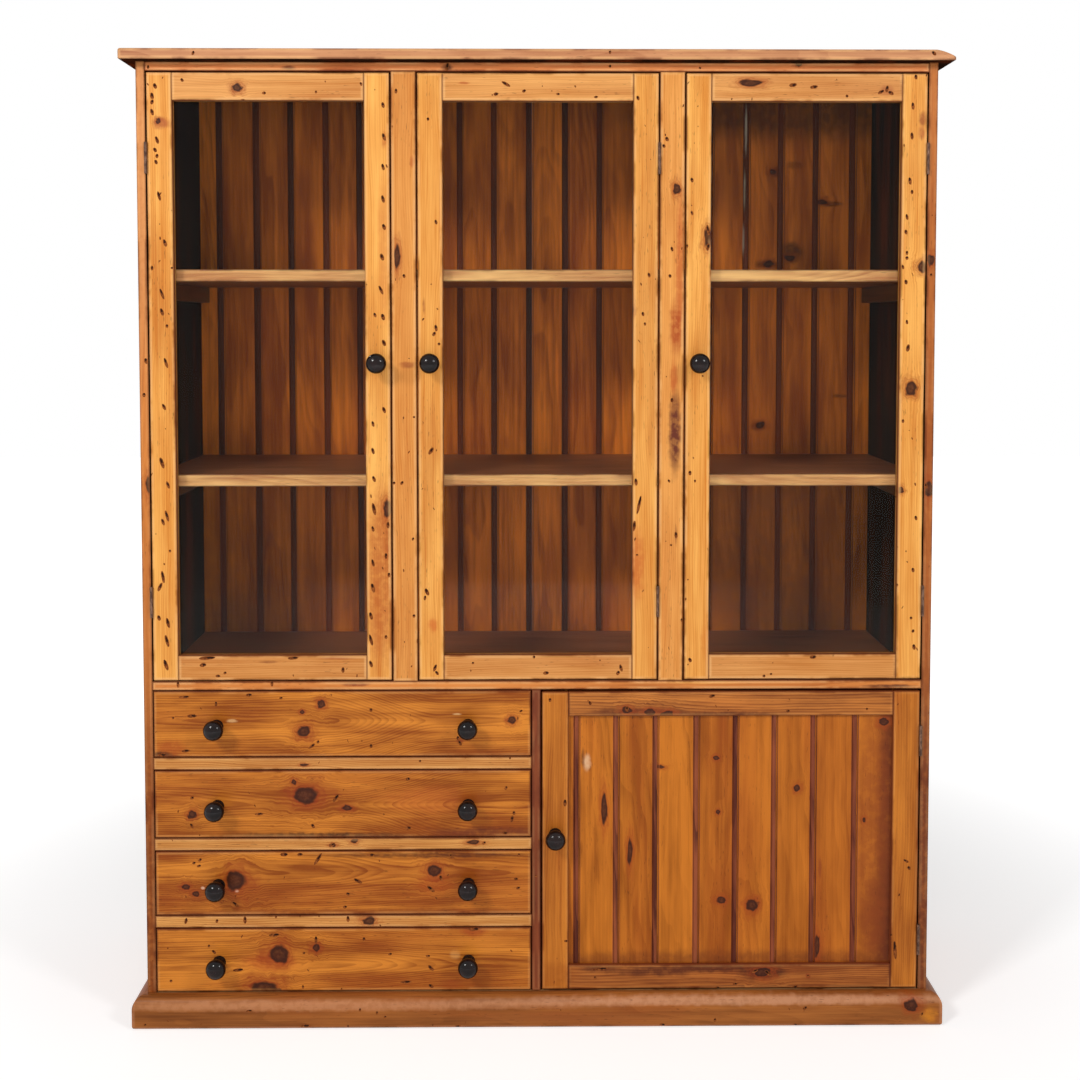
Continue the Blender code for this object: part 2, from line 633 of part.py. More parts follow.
def build_drawer(number, opening_z, fronts, inner_wood, knob_mesh, knob_finish):
    """Adds one drawer: a front, a dovetailed box that opens upwards, and two knobs."""
    name = f"drawer_{number}"
    opening_x = (-INNER_X, PARTITION_X[0])
    x = (opening_x[0] + DRAWER_GAP, opening_x[1] - DRAWER_GAP)
    front_z = (opening_z[0] + DRAWER_GAP, opening_z[1] - DRAWER_GAP)
    middle = (sum(x) / 2, FRONT_Y, sum(front_z) / 2)
    carrier = axis_empty(f"slide_{name}", middle)
    shoulder = FRONT_Y + DRAWER_FRONT_THICK
    side_z = (opening_z[0] + FIT_GAP, front_z[1] - DRAWER_SIDE_DROP)
    tail_z = (front_z[0], side_z[1])
    knob_places = [middle[0] - DRAWER_KNOB_OFFSET, middle[0] + DRAWER_KNOB_OFFSET]
    knob_z = middle[2] - DRAWER_KNOB_DROP
    front = faced_board(x, (FRONT_Y, shoulder), front_z)
    socket_depth = DRAWER_SIDE_THICK + FIT_GAP
    cutters = sockets((x[0] - FIT_GAP, x[0] + socket_depth), shoulder, tail_z)
    cutters += sockets((x[1] - socket_depth, x[1] + FIT_GAP), shoulder, tail_z)
    cutters += [spigot_hole(place, knob_z) for place in knob_places]
    add_piece(f"{name}_front", combine("DIFFERENCE", front, *cutters), fronts, carrier)
    box_y = (shoulder + FIT_GAP, INSIDE_BACK_Y - DRAWER_BACK_CLEARANCE)
    outline = side_outline(box_y, side_z, tail_z)
    left = prism(outline, lambda u, v, w: (w, u, v), (x[0], x[0] + DRAWER_SIDE_THICK))
    right = prism(outline, lambda u, v, w: (w, u, v), (x[1] - DRAWER_SIDE_THICK, x[1]))
    let_in = DRAWER_SIDE_THICK - DRAWER_GROOVE
    between = (x[0] + let_in, x[1] - let_in)
    bottom_low = side_z[0] + DRAWER_BOTTOM_RISE
    bottom_z = (bottom_low, bottom_low + DRAWER_BOTTOM_THICK)
    rear = box_y[1] - DRAWER_GROOVE
    bottom = block(between, (box_y[0] + FIT_GAP, rear - DRAWER_GROOVE), bottom_z)
    back_z = (bottom_low + DRAWER_BOTTOM_THICK / 2, side_z[1] - DRAWER_BACK_DROP)
    back = block(between, (rear - DRAWER_SIDE_THICK, rear), back_z)
    add_piece(f"{name}_box", combine("UNION", left, right, bottom, back), inner_wood, carrier)
    for side, place in zip(("left", "right"), knob_places):
        at = (place, FRONT_Y, knob_z)
        add_piece(f"{name}_knob_{side}", knob_mesh, knob_finish, carrier, at, True)


def build_dresser():
    """Builds the whole piece."""
    clear_scene()
    honey = finish("honey_pine", (0.62, 0.31, 0.10), 0.42)
    amber = finish("amber_pine", (0.46, 0.19, 0.045), 0.42)
    pale = finish("pale_pine", (0.55, 0.32, 0.14), 0.50)
    inner = finish("drawer_pine", (0.60, 0.42, 0.24), 0.60)
    glass = finish("window_glass", (0.90, 0.95, 0.93), 0.05, transmission=1.0)
    ebonised = finish("ebonised_wood", (0.02, 0.013, 0.01), 0.22)
    tarnished = finish("tarnished_steel", (0.22, 0.18, 0.15), 0.45, metallic=0.9)
    build_carcase(honey, amber, pale)
    knob_mesh = as_mesh("knob", turned(knob_profile(), KNOB_SIDES))
    hinges = hinge_meshes(tarnished)
    build_doors(honey, amber, amber, glass, knob_mesh, ebonised, hinges)
    for number, opening_z in enumerate(drawer_levels(), start=1):
        build_drawer(number, opening_z, amber, inner, knob_mesh, ebonised)


build_dresser()
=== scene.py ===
"""The looks of an old waxed-pine cupboard, glazed above, with drawers and a boarded door below.

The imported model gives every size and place. Each section dresses one piece, or a group of like
pieces, in the order in which the cupboard is put together.
"""
import math
import random

import bmesh
import bpy
from mathutils import Euler, Matrix, Vector, noise


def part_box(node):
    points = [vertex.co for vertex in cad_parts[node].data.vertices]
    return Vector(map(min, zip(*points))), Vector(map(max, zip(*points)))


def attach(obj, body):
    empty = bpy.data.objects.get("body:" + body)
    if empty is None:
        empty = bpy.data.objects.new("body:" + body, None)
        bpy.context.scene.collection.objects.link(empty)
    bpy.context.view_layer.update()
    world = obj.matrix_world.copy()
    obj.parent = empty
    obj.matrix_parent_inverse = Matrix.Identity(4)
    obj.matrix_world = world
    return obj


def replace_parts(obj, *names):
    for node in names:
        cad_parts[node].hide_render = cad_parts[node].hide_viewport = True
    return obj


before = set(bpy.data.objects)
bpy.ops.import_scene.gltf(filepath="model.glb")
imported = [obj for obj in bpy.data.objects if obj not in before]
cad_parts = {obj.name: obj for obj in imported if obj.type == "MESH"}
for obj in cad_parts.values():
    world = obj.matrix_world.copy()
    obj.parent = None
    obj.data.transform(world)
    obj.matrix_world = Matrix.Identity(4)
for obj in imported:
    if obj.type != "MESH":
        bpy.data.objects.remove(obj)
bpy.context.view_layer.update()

# The camera
# It stands just under three metres in front of the doors, a little left of the middle and a hand's
# breadth below the upper shelf, and looks slightly down. Marks on the wood are placed through it.
LENS = 45.62
SENSOR = 36.0
SHIFT_Y = -0.14
PITCH = math.radians(2.654)
YAW = math.radians(0.588)
CAMERA_PLACE = (-0.0246, -2.997, 1.4477)
PHOTO_SIZE = 1080

camera = bpy.data.objects.new("camera", bpy.data.cameras.new("camera"))
camera.data.lens = LENS
camera.data.sensor_width = SENSOR
camera.data.shift_y = SHIFT_Y
camera.location = CAMERA_PLACE
camera.rotation_euler = (math.pi / 2 - PITCH, 0, -YAW)
bpy.context.scene.collection.objects.link(camera)
bpy.context.scene.camera = camera
bpy.context.scene.view_settings.view_transform = "Standard"


def seen_at(x, y, plane):
    """The point on an upright plane, so far along Y, that shows at pixel x, y of the photograph."""
    across = (x / PHOTO_SIZE - 0.5) * SENSOR / LENS
    up = (0.5 - y / PHOTO_SIZE + SHIFT_Y) * SENSOR / LENS
    ray = Vector((across, up, -1.0))
    ray.rotate(Euler(camera.rotation_euler))
    return camera.location + ray * ((plane - camera.location.y) / ray.y)


# The studio
# A white floor and a white surround, one large soft lamp on the upper left, a second on the upper
# right, and a weak one low in front, so that the recesses stay dark and the knobs catch two lights.
class Net:
    """Adds nodes to one tree, and joins each to what is passed to it."""

    def __init__(self, tree):
        self.tree = tree

    def add(self, kind, *values, **settings):
        node = self.tree.nodes.new(kind)
        for name, value in settings.items():
            setattr(node, name, value)
        for socket, value in zip(node.inputs, values):
            self.feed(socket, value)
        return node

    def feed(self, socket, value):
        if isinstance(value, bpy.types.NodeSocket):
            self.tree.links.new(value, socket)
        elif value is not None:
            socket.default_value = value

    def math(self, operation, *values, clamp=False):
        return self.add("ShaderNodeMath", *values, operation=operation, use_clamp=clamp).outputs[0]

    def vector(self, operation, *values):
        node = self.add("ShaderNodeVectorMath", *values, operation=operation)
        return node.outputs["Value" if operation in ("LENGTH", "DISTANCE") else "Vector"]

    def noise(self, at, stretch, detail=2.0, roughness=0.5):
        scaled = self.vector("MULTIPLY", at, stretch)
        return self.add("ShaderNodeTexNoise", scaled, None, 1.0, detail, roughness).outputs["Fac"]

    def rise(self, value, start, end, low=0.0, high=1.0):
        node = self.add("ShaderNodeMapRange", value, start, end, low, high)
        node.interpolation_type = "SMOOTHSTEP"
        return node.outputs[0]

    def blend(self, share, first, second):
        node = self.add("ShaderNodeMix", data_type="RGBA")
        self.feed(node.inputs[0], share)
        self.feed(node.inputs[6], first)
        self.feed(node.inputs[7], second)
        return node.outputs[2]

    def parts(self, vector):
        return self.add("ShaderNodeSeparateXYZ", vector).outputs

    def place(self):
        return self.add("ShaderNodeTexCoord").outputs["Object"]

    def given(self, name):
        return self.add("ShaderNodeAttribute", attribute_name=name).outputs["Vector"]


def shade(red, green, blue):
    """A colour as a screen shows it, 0 to 255, as the linear colour that a shader takes."""
    levels = [value / 255 for value in (red, green, blue)]
    return (*[v / 12.92 if v < 0.04045 else ((v + 0.055) / 1.055) ** 2.4 for v in levels], 1.0)


def new_finish(name, slot=None):
    """An empty material, with the net that fills it and its output node."""
    material = bpy.data.materials.new(name)
    material.use_nodes = True
    material.node_tree.nodes.clear()
    if slot:
        material["slot"] = slot
    net = Net(material.node_tree)
    return material, net, net.add("ShaderNodeOutputMaterial")


def new_piece(name, mesh, *materials):
    """An object at the origin, with its place in its mesh."""
    obj = bpy.data.objects.new(name, mesh)
    bpy.context.scene.collection.objects.link(obj)
    for material in materials:
        mesh.materials.append(material)
    return obj


FLOOR_REACH = 12.0
FLOOR_LEVEL = -0.0005
FILL = 0.28
LAMPS = {
    "lamp_left": ((-2.6, -3.6, 3.6), 0.9, 104, True),
    "lamp_right": ((2.9, -3.2, 3.2), 0.8, 54, True),
    "lamp_low": ((0.0, -5.0, 1.3), 2.4, 58, False),
}
LAMPS_LOOK_AT = Vector((0.0, 0.0, 1.0))


def seen_direct(net):
    """One where a surface is seen by the camera, in a reflection or through glass."""
    rays = net.add("ShaderNodeLightPath").outputs
    direct = net.math("MAXIMUM", rays["Is Camera Ray"], rays["Is Glossy Ray"])
    return net.math("MAXIMUM", direct, rays["Is Transmission Ray"])


floor_white, net, out = new_finish("floor_white")
paper = net.add("ShaderNodeBsdfDiffuse", shade(232, 232, 232))
far_off = net.vector("LENGTH", net.place())
glow = net.math("MULTIPLY", seen_direct(net), net.rise(far_off, 0.9, 2.8, 0.46, 0.95))
glow = net.add("ShaderNodeEmission", (1, 1, 1, 1), glow)
both = net.add("ShaderNodeAddShader", paper.outputs[0], glow.outputs[0])
net.feed(out.inputs[0], both.outputs[0])
floor_mesh = bpy.data.meshes.new("floor")
floor_mesh.from_pydata(
    [(x * FLOOR_REACH, y * FLOOR_REACH, FLOOR_LEVEL) for x, y in ((-1, -1), (1, -1), (1, 1), (-1, 1))],
    [], [(0, 1, 2, 3)],
)
new_piece("floor", floor_mesh, floor_white)

world = bpy.data.worlds.new("surround")
bpy.context.scene.world = world
world.use_nodes = True
world.node_tree.nodes.clear()
net = Net(world.node_tree)
strength = net.rise(seen_direct(net), 0.0, 1.0, FILL, 1.0)
sky = net.add("ShaderNodeBackground", (1, 1, 1, 1), strength)
net.feed(net.add("ShaderNodeOutputWorld").inputs[0], sky.outputs[0])

for name, (place, size, power, mirrored) in LAMPS.items():
    light = bpy.data.lights.new(name, "AREA")
    light.size = size
    light.energy = power
    lamp = bpy.data.objects.new(name, light)
    lamp.location = place
    lamp.rotation_euler = (LAMPS_LOOK_AT - lamp.location).to_track_quat("-Z", "Y").to_euler()
    lamp.visible_glossy = mirrored
    bpy.context.scene.collection.objects.link(lamp)


# The two sides
# Full-height pine boards 18 mm thick, rebated for the back, with a nailed cleat under each shelf.
# Their outsides are honey coloured, and their insides carry painted shade, nearly black.
def knot_group():
    """Shapes one knot: how it parts the grain, its mass, its dark rim, and the red wood round it."""
    tree = bpy.data.node_groups.new("knot", "ShaderNodeTree")
    for name, kind in (("Place", "Vector"), ("Centre", "Vector"), ("Size", "Vector")):
        tree.interface.new_socket(name, in_out="INPUT", socket_type=f"NodeSocket{kind}")
    for name, kind in (("Part", "Vector"), ("Mass", "Float"), ("Rim", "Float"), ("Halo", "Float")):
        tree.interface.new_socket(name, in_out="OUTPUT", socket_type=f"NodeSocket{kind}")
    net = Net(tree)
    given = net.add("NodeGroupInput").outputs
    off = net.vector("SUBTRACT", given["Place"], given["Centre"])
    in_sizes = net.vector("DIVIDE", off, given["Size"])
    own_luck = net.vector("MULTIPLY", given["Centre"], (37, 37, 37))
    wobble = net.noise(net.vector("ADD", in_sizes, own_luck), (0.7, 0.7, 0.7), 2.0)
    far = net.math("MULTIPLY", net.vector("LENGTH", in_sizes), net.math("MULTIPLY_ADD", wobble, 1.3, 0.30))
    near = net.math("EXPONENT", net.math("MULTIPLY", net.math("MULTIPLY", far, far), -0.16))
    part = net.vector("SCALE", off)
    net.feed(part.node.inputs["Scale"], net.math("MULTIPLY", near, 0.75))
    rim = net.math("MULTIPLY", net.rise(far, 0.35, 0.85), net.rise(far, 1.25, 0.90))
    lines = net.math("MULTIPLY_ADD", net.math("SINE", net.math("MULTIPLY", far, 12.0)), 0.22, 0.78)
    halo = net.math("MULTIPLY", net.rise(far, 2.9, 1.0), lines)
    result = net.add("NodeGroupOutput")
    for socket, value in zip(result.inputs, (part, net.rise(far, 1.15, 0.8), rim, halo)):
        net.feed(socket, value)
    return tree


KNOT = knot_group()
AXES = {"x": ("X", "Z", "Y"), "z": ("Z", "X", "Y"), "y": ("Y", "Z", "X")}
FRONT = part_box("mid_board")[0][1]
RING_BEND = 0.055
LOG_TAPER = 0.012
WASH_REACH = 0.016
# The pale band along arrises is partly rubbed wear and partly a painted highlight. The seam brown is painted
# shade beside each gap, and the side brown is painted shade on faces inside the gaps.
RUB_AND_SHEEN_WIDTH = 0.0080
SEAM_SHADE_WIDTH = 0.0034
SEAM_SHADE_BROWN = shade(98, 40, 16)
GAP_SHADE_BROWN = shade(112, 44, 18)


def surface(net, out, colour, rough, shine=None, normal=None, metallic=None):
    """A finish from its colour, its roughness, how its film shines, its relief and how metallic it is."""
    shader = net.add("ShaderNodeBsdfPrincipled", colour, metallic)
    for name, value in (("Roughness", rough), ("Specular IOR Level", shine), ("Normal", normal)):
        net.feed(shader.inputs[name], value)
    net.feed(out.inputs[0], shader.outputs[0])


def growth_rings(net, grain, lengthways, ring, slopes, plane):
    """The late wood of each year, as cones round the heart of the log."""
    log = net.parts(grain)
    bend = net.noise(grain, (1.5, 7.0, 7.0), 3.0)
    radius = net.vector("LENGTH", net.add("ShaderNodeCombineXYZ", 0.0, log[1], log[2]).outputs[0])
    radius = net.math("ADD", radius, net.math("MULTIPLY", bend, RING_BEND))
    radius = net.math("ADD", radius, net.math("MULTIPLY", log[0], LOG_TAPER))
    for start, end, amount in slopes:
        limits = [seen_at(x, PHOTO_SIZE / 2, plane).x for x in (start, end)]
        radius = net.math("ADD", radius, net.rise(lengthways, *limits, 0.0, amount))
    years = net.math("DIVIDE", radius, ring)
    season = net.math("FRACT", years)
    late = net.math("MULTIPLY", net.rise(season, 0.25, 0.93), net.rise(season, 1.0, 0.95))
    year = net.add("ShaderNodeTexWhiteNoise", noise_dimensions="1D")
    net.feed(year.inputs["W"], net.math("FLOOR", years))
    return net.math("MULTIPLY", late, net.rise(year.outputs["Value"], 0.0, 1.0, 0.35, 1.0))


def washed(net, colour, place, flat, washes, plane):
    """Stained and paler patches with ragged edges, each at its own place."""
    if not washes:
        return colour
    blur = net.add("ShaderNodeTexNoise", place, None, 60.0).outputs[1]
    wander = net.vector("SUBTRACT", blur, (0.5,) * 3)
    uneven = net.rise(net.noise(place, (70, 70, 70), 4.0, 0.6), 0.36, 0.56, 0.72, 1.0)
    for x, y, wide, tall, tint, strength in washes:
        centre = seen_at(x, y, plane)
        reach = min(WASH_REACH, 0.0005 * min(wide, tall))
        off = net.vector("MULTIPLY_ADD", wander, (reach, 0, reach), flat)
        off = net.vector("SUBTRACT", off, (centre.x, 0, centre.z))
        far = net.vector("LENGTH", net.vector("DIVIDE", off, (wide / 2000, 1, tall / 2000)))
        share = net.math("MULTIPLY", net.rise(far, 1.35, 0.4), net.math("MULTIPLY", uneven, strength))
        colour = net.blend(share, colour, shade(*tint))
    return colour


def worn_arrises(net, colour, place, worn, grime, seam_shade, dark, rub):
    """Pale along the arrises, partly rubbed wear and partly a painted highlight, and dark where grime has
    settled beside them. A dark band at each arris is painted shade of the gap beside it.
    """
    low = net.vector("SUBTRACT", place, net.given("low"))
    high = net.vector("SUBTRACT", net.given("high"), place)
    nearest = net.vector("MAXIMUM", net.vector("MINIMUM", low, high), (0.0, 0.0, 0.0))
    a, b, c = net.parts(nearest)
    least = net.math("MINIMUM", net.math("MINIMUM", a, b), c)
    most = net.math("MAXIMUM", net.math("MAXIMUM", a, b), c)
    total = net.math("ADD", net.math("ADD", a, b), c)
    inward = net.math("SUBTRACT", net.math("SUBTRACT", total, least), most)
    patchy = net.noise(place, (9.0, 9.0, 9.0), 4.0, 0.6)
    # Pale band along the arris: partly rubbed wear and partly a painted highlight.
    rubbed_and_lit = net.math("MULTIPLY", net.rise(inward, RUB_AND_SHEEN_WIDTH, 0.0030), net.rise(patchy, 0.62, 0.44))
    colour = net.blend(net.math("MULTIPLY", rubbed_and_lit, worn), colour, rub)
    dirt = net.math("MULTIPLY", net.rise(inward, 0.0060, 0.0008), net.rise(patchy, 0.50, 0.62))
    colour = net.blend(net.math("MULTIPLY", dirt, grime), colour, dark)
    # A dark brown band at the arris: painted shade of the gap beside it.
    return net.blend(net.rise(inward, SEAM_SHADE_WIDTH, 0.0010, 0.0, seam_shade), colour, SEAM_SHADE_BROWN)


def pine(
    name, pale, deep, along, slot="honey_pine", ring=0.0050, figure=0.35, blotch=0.35, rough=0.40, knots=(),
    washes=(), plane=FRONT, flecks=0.5, worn=0.4, grime=0.5, edges=True, dark=(52, 20, 8),
    ruddy=(150, 62, 20), slopes=(), rub=(248, 196, 132), painted_gap_shade=0.85, seam_shade=0.75, cloudy=1.3,
    shine=0.15,
):
    """Waxed pine sawn along one axis, with growth rings as cones round a line behind the board.

    Knots are pixel x, y and size in mm, and washes are the same with a colour and a strength. Between
    the pixels x of a slope the board was sawn across the rings, by so much, which gives pointed rings.
    Colours are given as a screen shows them.
    """
    pale, deep, dark, ruddy, rub = (shade(*tint) for tint in (pale, deep, dark, ruddy, rub))
    material, net, out = new_finish(name, slot)
    place = net.place()
    apart = net.parts(place)
    lengthways, across, depth = (apart[axis] for axis in AXES[along])
    flat = net.vector("MULTIPLY", place, (1, 0, 1))
    pushed = across
    mass, rim, halo = 0.0, 0.0, 0.0
    for x, y, wide, tall in knots:
        centre = seen_at(x, y, plane)
        knot = net.add("ShaderNodeGroup", node_tree=KNOT)
        for socket, value in zip(knot.inputs, (flat, (centre.x, 0, centre.z), (wide / 2000, 1, tall / 2000))):
            net.feed(socket, value)
        pushed = net.math("SUBTRACT", pushed, net.parts(knot.outputs["Part"])[AXES[along][1]])
        mass = net.math("MAXIMUM", mass, knot.outputs["Mass"])
        rim = net.math("MAXIMUM", rim, knot.outputs["Rim"])
        halo = net.math("MAXIMUM", halo, knot.outputs["Halo"])
    own = net.add("ShaderNodeCombineXYZ", lengthways, pushed, depth).outputs[0]
    grain = net.vector("ADD", own, net.given("cut"))
    tone = net.parts(net.given("tone"))

    # fibres, blotches and short dark flecks
    late = growth_rings(net, grain, lengthways, ring, slopes, plane)
    fibre = net.noise(grain, (7.0, 320.0, 320.0), 3.0, 0.6)
    patch = net.noise(grain, (1.6, 12.0, 12.0), 4.0, 0.6)
    cloud = net.noise(grain, (4.5, 22.0, 22.0), 3.0, 0.55)
    streak = net.noise(grain, (2.2, 90.0, 90.0), 3.0, 0.6)
    fleck = net.rise(net.noise(grain, (60.0, 420.0, 420.0), 1.0), 0.66, 0.76)
    fleck = net.math("MULTIPLY", fleck, net.rise(patch, 0.40, 0.60))
    amount = net.math("MULTIPLY_ADD", late, figure, 0.40)
    for part, gain in ((streak, 1.2), (fibre, 0.7), (cloud, cloudy)):
        amount = net.math("ADD", amount, net.math("MULTIPLY", net.math("SUBTRACT", part, 0.5), gain))
    amount = net.math("ADD", amount, net.math("MULTIPLY", tone[0], 0.5), clamp=True)
    colour = net.blend(amount, pale, deep)
    red = net.math("MULTIPLY", net.rise(patch, 0.45, 0.72), blotch)
    red = net.math("ADD", red, net.math("MULTIPLY", tone[1], 0.5), clamp=True)
    colour = net.blend(red, colour, ruddy)
    colour = washed(net, colour, place, flat, washes, plane)
    colour = net.blend(net.math("MULTIPLY", fleck, flecks), colour, dark)
    if knots:
        colour = net.blend(net.math("MULTIPLY", halo, 0.75), colour, ruddy)
        inner = net.rise(net.noise(place, (200, 200, 200), 2.0), 0.35, 0.65)
        heart = net.blend(inner, shade(76, 40, 22), dark)
        colour = net.blend(net.math("MULTIPLY", mass, 0.9), colour, heart)
        colour = net.blend(net.math("MULTIPLY", rim, 0.85), colour, dark)

    # Along the arrises: a pale band, partly rubbed wear and partly a painted highlight, then grime, then
    # painted shade beside the gaps.
    if edges:
        colour = worn_arrises(net, colour, place, worn, grime, seam_shade, dark, rub)
    # Faces turned away from the front are painted dark brown: painted shade, as deep in the gaps between
    # parts.
    if painted_gap_shade:
        facing = net.math("ABSOLUTE", net.parts(net.add("ShaderNodeTexCoord").outputs["Normal"])[1])
        colour = net.blend(net.rise(facing, 0.80, 0.25, 0.0, painted_gap_shade), colour, GAP_SHADE_BROWN)

    relief = net.math("ADD", net.math("MULTIPLY", late, 0.35), fibre)
    bump = net.add("ShaderNodeBump", 0.30, 0.0006)
    net.feed(bump.inputs["Height"], relief)
    dull = net.math("ADD", net.math("MULTIPLY", streak, 0.16), rough - 0.08)
    surface(net, out, colour, dull, shine, bump.outputs[0])
    return material


def new_recipe(name, *inputs):
    """A Geometry Nodes tree with named inputs, its net, and what it is given."""
    tree = bpy.data.node_groups.new(name, "GeometryNodeTree")
    sockets = {}
    for label, kind in (("Geometry", "Geometry"), *inputs):
        socket = tree.interface.new_socket(label, in_out="INPUT", socket_type=f"NodeSocket{kind}")
        sockets[label] = socket.identifier
    tree.interface.new_socket("Geometry", in_out="OUTPUT", socket_type="NodeSocketGeometry")
    net = Net(tree)
    return (tree, sockets), net, net.add("NodeGroupInput").outputs


def worked(obj, recipe, **values):
    """Runs a recipe on a piece, and leaves it as a plain mesh."""
    tree, sockets = recipe
    step = obj.modifiers.new(tree.name, "NODES")
    step.node_group = tree
    for label, value in values.items():
        step[sockets[label]] = value
    depsgraph = bpy.context.evaluated_depsgraph_get()
    mesh = bpy.data.meshes.new_from_object(
        obj.evaluated_get(depsgraph), preserve_all_data_layers=True, depsgraph=depsgraph,
    )
    obj.modifiers.clear()
    obj.data = mesh
    return obj


def own_value(net, name, kind="FLOAT_VECTOR"):
    """Reads an attribute in a recipe."""
    return net.add("GeometryNodeInputNamedAttribute", name, data_type=kind).outputs[0]


def stored(net, geometry, name, value, kind, domain):
    """Writes an attribute in a recipe."""
    node = net.add("GeometryNodeStoreNamedAttribute", geometry, data_type=kind, domain=domain)
    node.inputs["Name"].default_value = name
    net.feed(node.inputs["Value"], value)
    return node.outputs[0]


def drawn(net, low, high, seed):
    """A random vector between two others, in a recipe."""
    node = net.add("FunctionNodeRandomValue", low, high, data_type="FLOAT_VECTOR")
    net.feed(node.inputs["Seed"], seed)
    return node.outputs["Value"]


def dents_recipe():
    """Cuts dents: those at given points, and others scattered over the front of the piece."""
    recipe, net, given = new_recipe(
        "dents", ("Marks", "Object"), ("Scatter", "Float"), ("Seed", "Int"), ("Shortest", "Vector"),
        ("Longest", "Vector"), ("Finish", "Material"), ("Core finish", "Material"),
    )
    gouge = net.add("GeometryNodeMeshUVSphere", 10, 6, 1.0).outputs["Mesh"]
    placed = net.add("GeometryNodeObjectInfo", given["Marks"]).outputs["Geometry"]
    size = own_value(net, "size")
    lean = own_value(net, "lean")
    own = net.add("GeometryNodeInstanceOnPoints", placed, None, gouge, None, None, lean, size)
    front = net.parts(net.add("GeometryNodeInputNormal").outputs[0])[1]
    spread = net.add("GeometryNodeDistributePointsOnFaces", given["Geometry"])
    net.feed(spread.inputs["Selection"], net.math("LESS_THAN", front, -0.98))
    net.feed(spread.inputs["Density"], given["Scatter"])
    net.feed(spread.inputs["Seed"], given["Seed"])
    sizes = drawn(net, given["Shortest"], given["Longest"], given["Seed"])
    turns = drawn(net, (0.0, -0.7, 0.0), (0.0, 0.7, 0.0), given["Seed"])
    points = spread.outputs["Points"]
    loose = net.add("GeometryNodeInstanceOnPoints", points, None, gouge, None, None, turns, sizes)
    joined = net.add("GeometryNodeJoinGeometry", own.outputs[0])
    net.feed(joined.inputs[0], loose.outputs[0])
    struck = net.add("GeometryNodeRealizeInstances", joined.outputs[0]).outputs[0]
    core = net.math("GREATER_THAN", net.parts(own_value(net, "core"))[0], 0.5)
    for label, value in (("struck", True), ("deep", core)):
        struck = stored(net, struck, label, value, "BOOLEAN", "FACE")
    cutting = net.add("GeometryNodeMeshBoolean", operation="DIFFERENCE", solver="EXACT")
    net.feed(cutting.inputs["Mesh 1"], given["Geometry"])
    net.feed(cutting.inputs["Mesh 2"], struck)
    cutting.inputs["Self Intersection"].default_value = True
    real = net.add("GeometryNodeRealizeInstances", cutting.outputs[0])
    for label, finish in (("struck", "Finish"), ("deep", "Core finish")):
        chosen = own_value(net, label, "BOOLEAN")
        real = net.add("GeometryNodeSetMaterial", real.outputs[0], chosen, given[finish])
    net.add("NodeGroupOutput", real.outputs[0])
    return recipe


DENTS = dents_recipe()
DENT_DEPTH = 0.0020
CORE_DEPTH = 0.0034
DENT_WIDTH = 0.0070
CORE_WIDTH = 0.0042
CORE_SHARE = 0.52
SHORTEST_NICK = (0.0007, 0.0006, 0.0009)
LONGEST_NICK = (0.0017, 0.0014, 0.0040)


def dent_finish(name, darkest, palest):
    """Old wax and dirt at the bottom of a dent."""
    material, net, out = new_finish(name)
    grubby = net.noise(net.place(), (300, 300, 300), 3.0)
    colour = net.blend(net.rise(grubby, 0.3, 0.7), shade(*darkest), shade(*palest))
    surface(net, out, colour, 0.7, 0.1)
    return material


dent_brown = dent_finish("dent_brown", (92, 42, 16), (150, 84, 38))
dent_black = dent_finish("dent_black", (24, 10, 6), (52, 24, 12))


def point_cloud(places, **attributes):
    """An object that holds points with vector attributes, for a recipe to read."""
    mesh = bpy.data.meshes.new("points")
    mesh.from_pydata(places, [], [])
    for name, values in attributes.items():
        attribute = mesh.attributes.new(name, "FLOAT_VECTOR", "POINT")
        for entry, value in zip(attribute.data, values):
            entry.vector = value
    return new_piece("points", mesh)


def strike(obj, plane, marks=(), scatter=0.0, seed=0):
    """Cuts the marks seen on a piece, as pixel x, y, length in mm and lean in degrees, and a few more."""
    luck = random.Random(seed)
    places, sizes, leans, cores = [], [], [], []
    for x, y, length, lean in marks:
        turn = math.radians(lean)
        half = length / 2000
        width = min(1.0, 0.55 + length / 30) * luck.uniform(0.85, 1.15)
        middle = seen_at(x, y, plane)
        towards = Vector((math.sin(turn), 0.0, math.cos(turn))) * half * luck.uniform(0.15, 0.42)
        places += [middle, middle + towards]
        sizes.append((DENT_WIDTH / 2 * width, DENT_DEPTH / 2, half))
        sizes.append((CORE_WIDTH / 2 * width, CORE_DEPTH / 2, half * CORE_SHARE))
        leans += [(0.0, turn, 0.0)] * 2
        cores += [(0.0, 0.0, 0.0), (1.0, 0.0, 0.0)]
    holder = point_cloud(places, size=sizes, lean=leans, core=cores)
    worked(
        obj, DENTS, Marks=holder, Scatter=float(scatter), Seed=seed, Finish=dent_brown,
        Shortest=SHORTEST_NICK, Longest=LONGEST_NICK, **{"Core finish": dent_black},
    )
    bpy.data.objects.remove(holder)


def as_mesh(shape, name):
    """Ends the work on a shape, and gives its plain mesh."""
    mesh = bpy.data.meshes.new(name)
    shape.to_mesh(mesh)
    shape.free()
    return mesh


def loft(loops):
    """Skins matching loops of corners and closes both ends."""
    shape = bmesh.new()
    rings = [[shape.verts.new(corner) for corner in loop] for loop in loops]
    for near, far in zip(rings, rings[1:]):
        for index, corner in enumerate(near):
            after = (index + 1) % len(near)
            shape.faces.new((corner, near[after], far[after], far[index]))
    shape.faces.new(rings[0])
    shape.faces.new(rings[-1])
    bmesh.ops.recalc_face_normals(shape, faces=shape.faces)
    return as_mesh(shape, "board")


def laid(u, v, w, along):
    """A corner of a section, (x, y) along z, (y, z) along x or (x, z) along y, so far along it."""
    return {"z": (u, v, w), "x": (w, u, v), "y": (u, w, v)}[along]


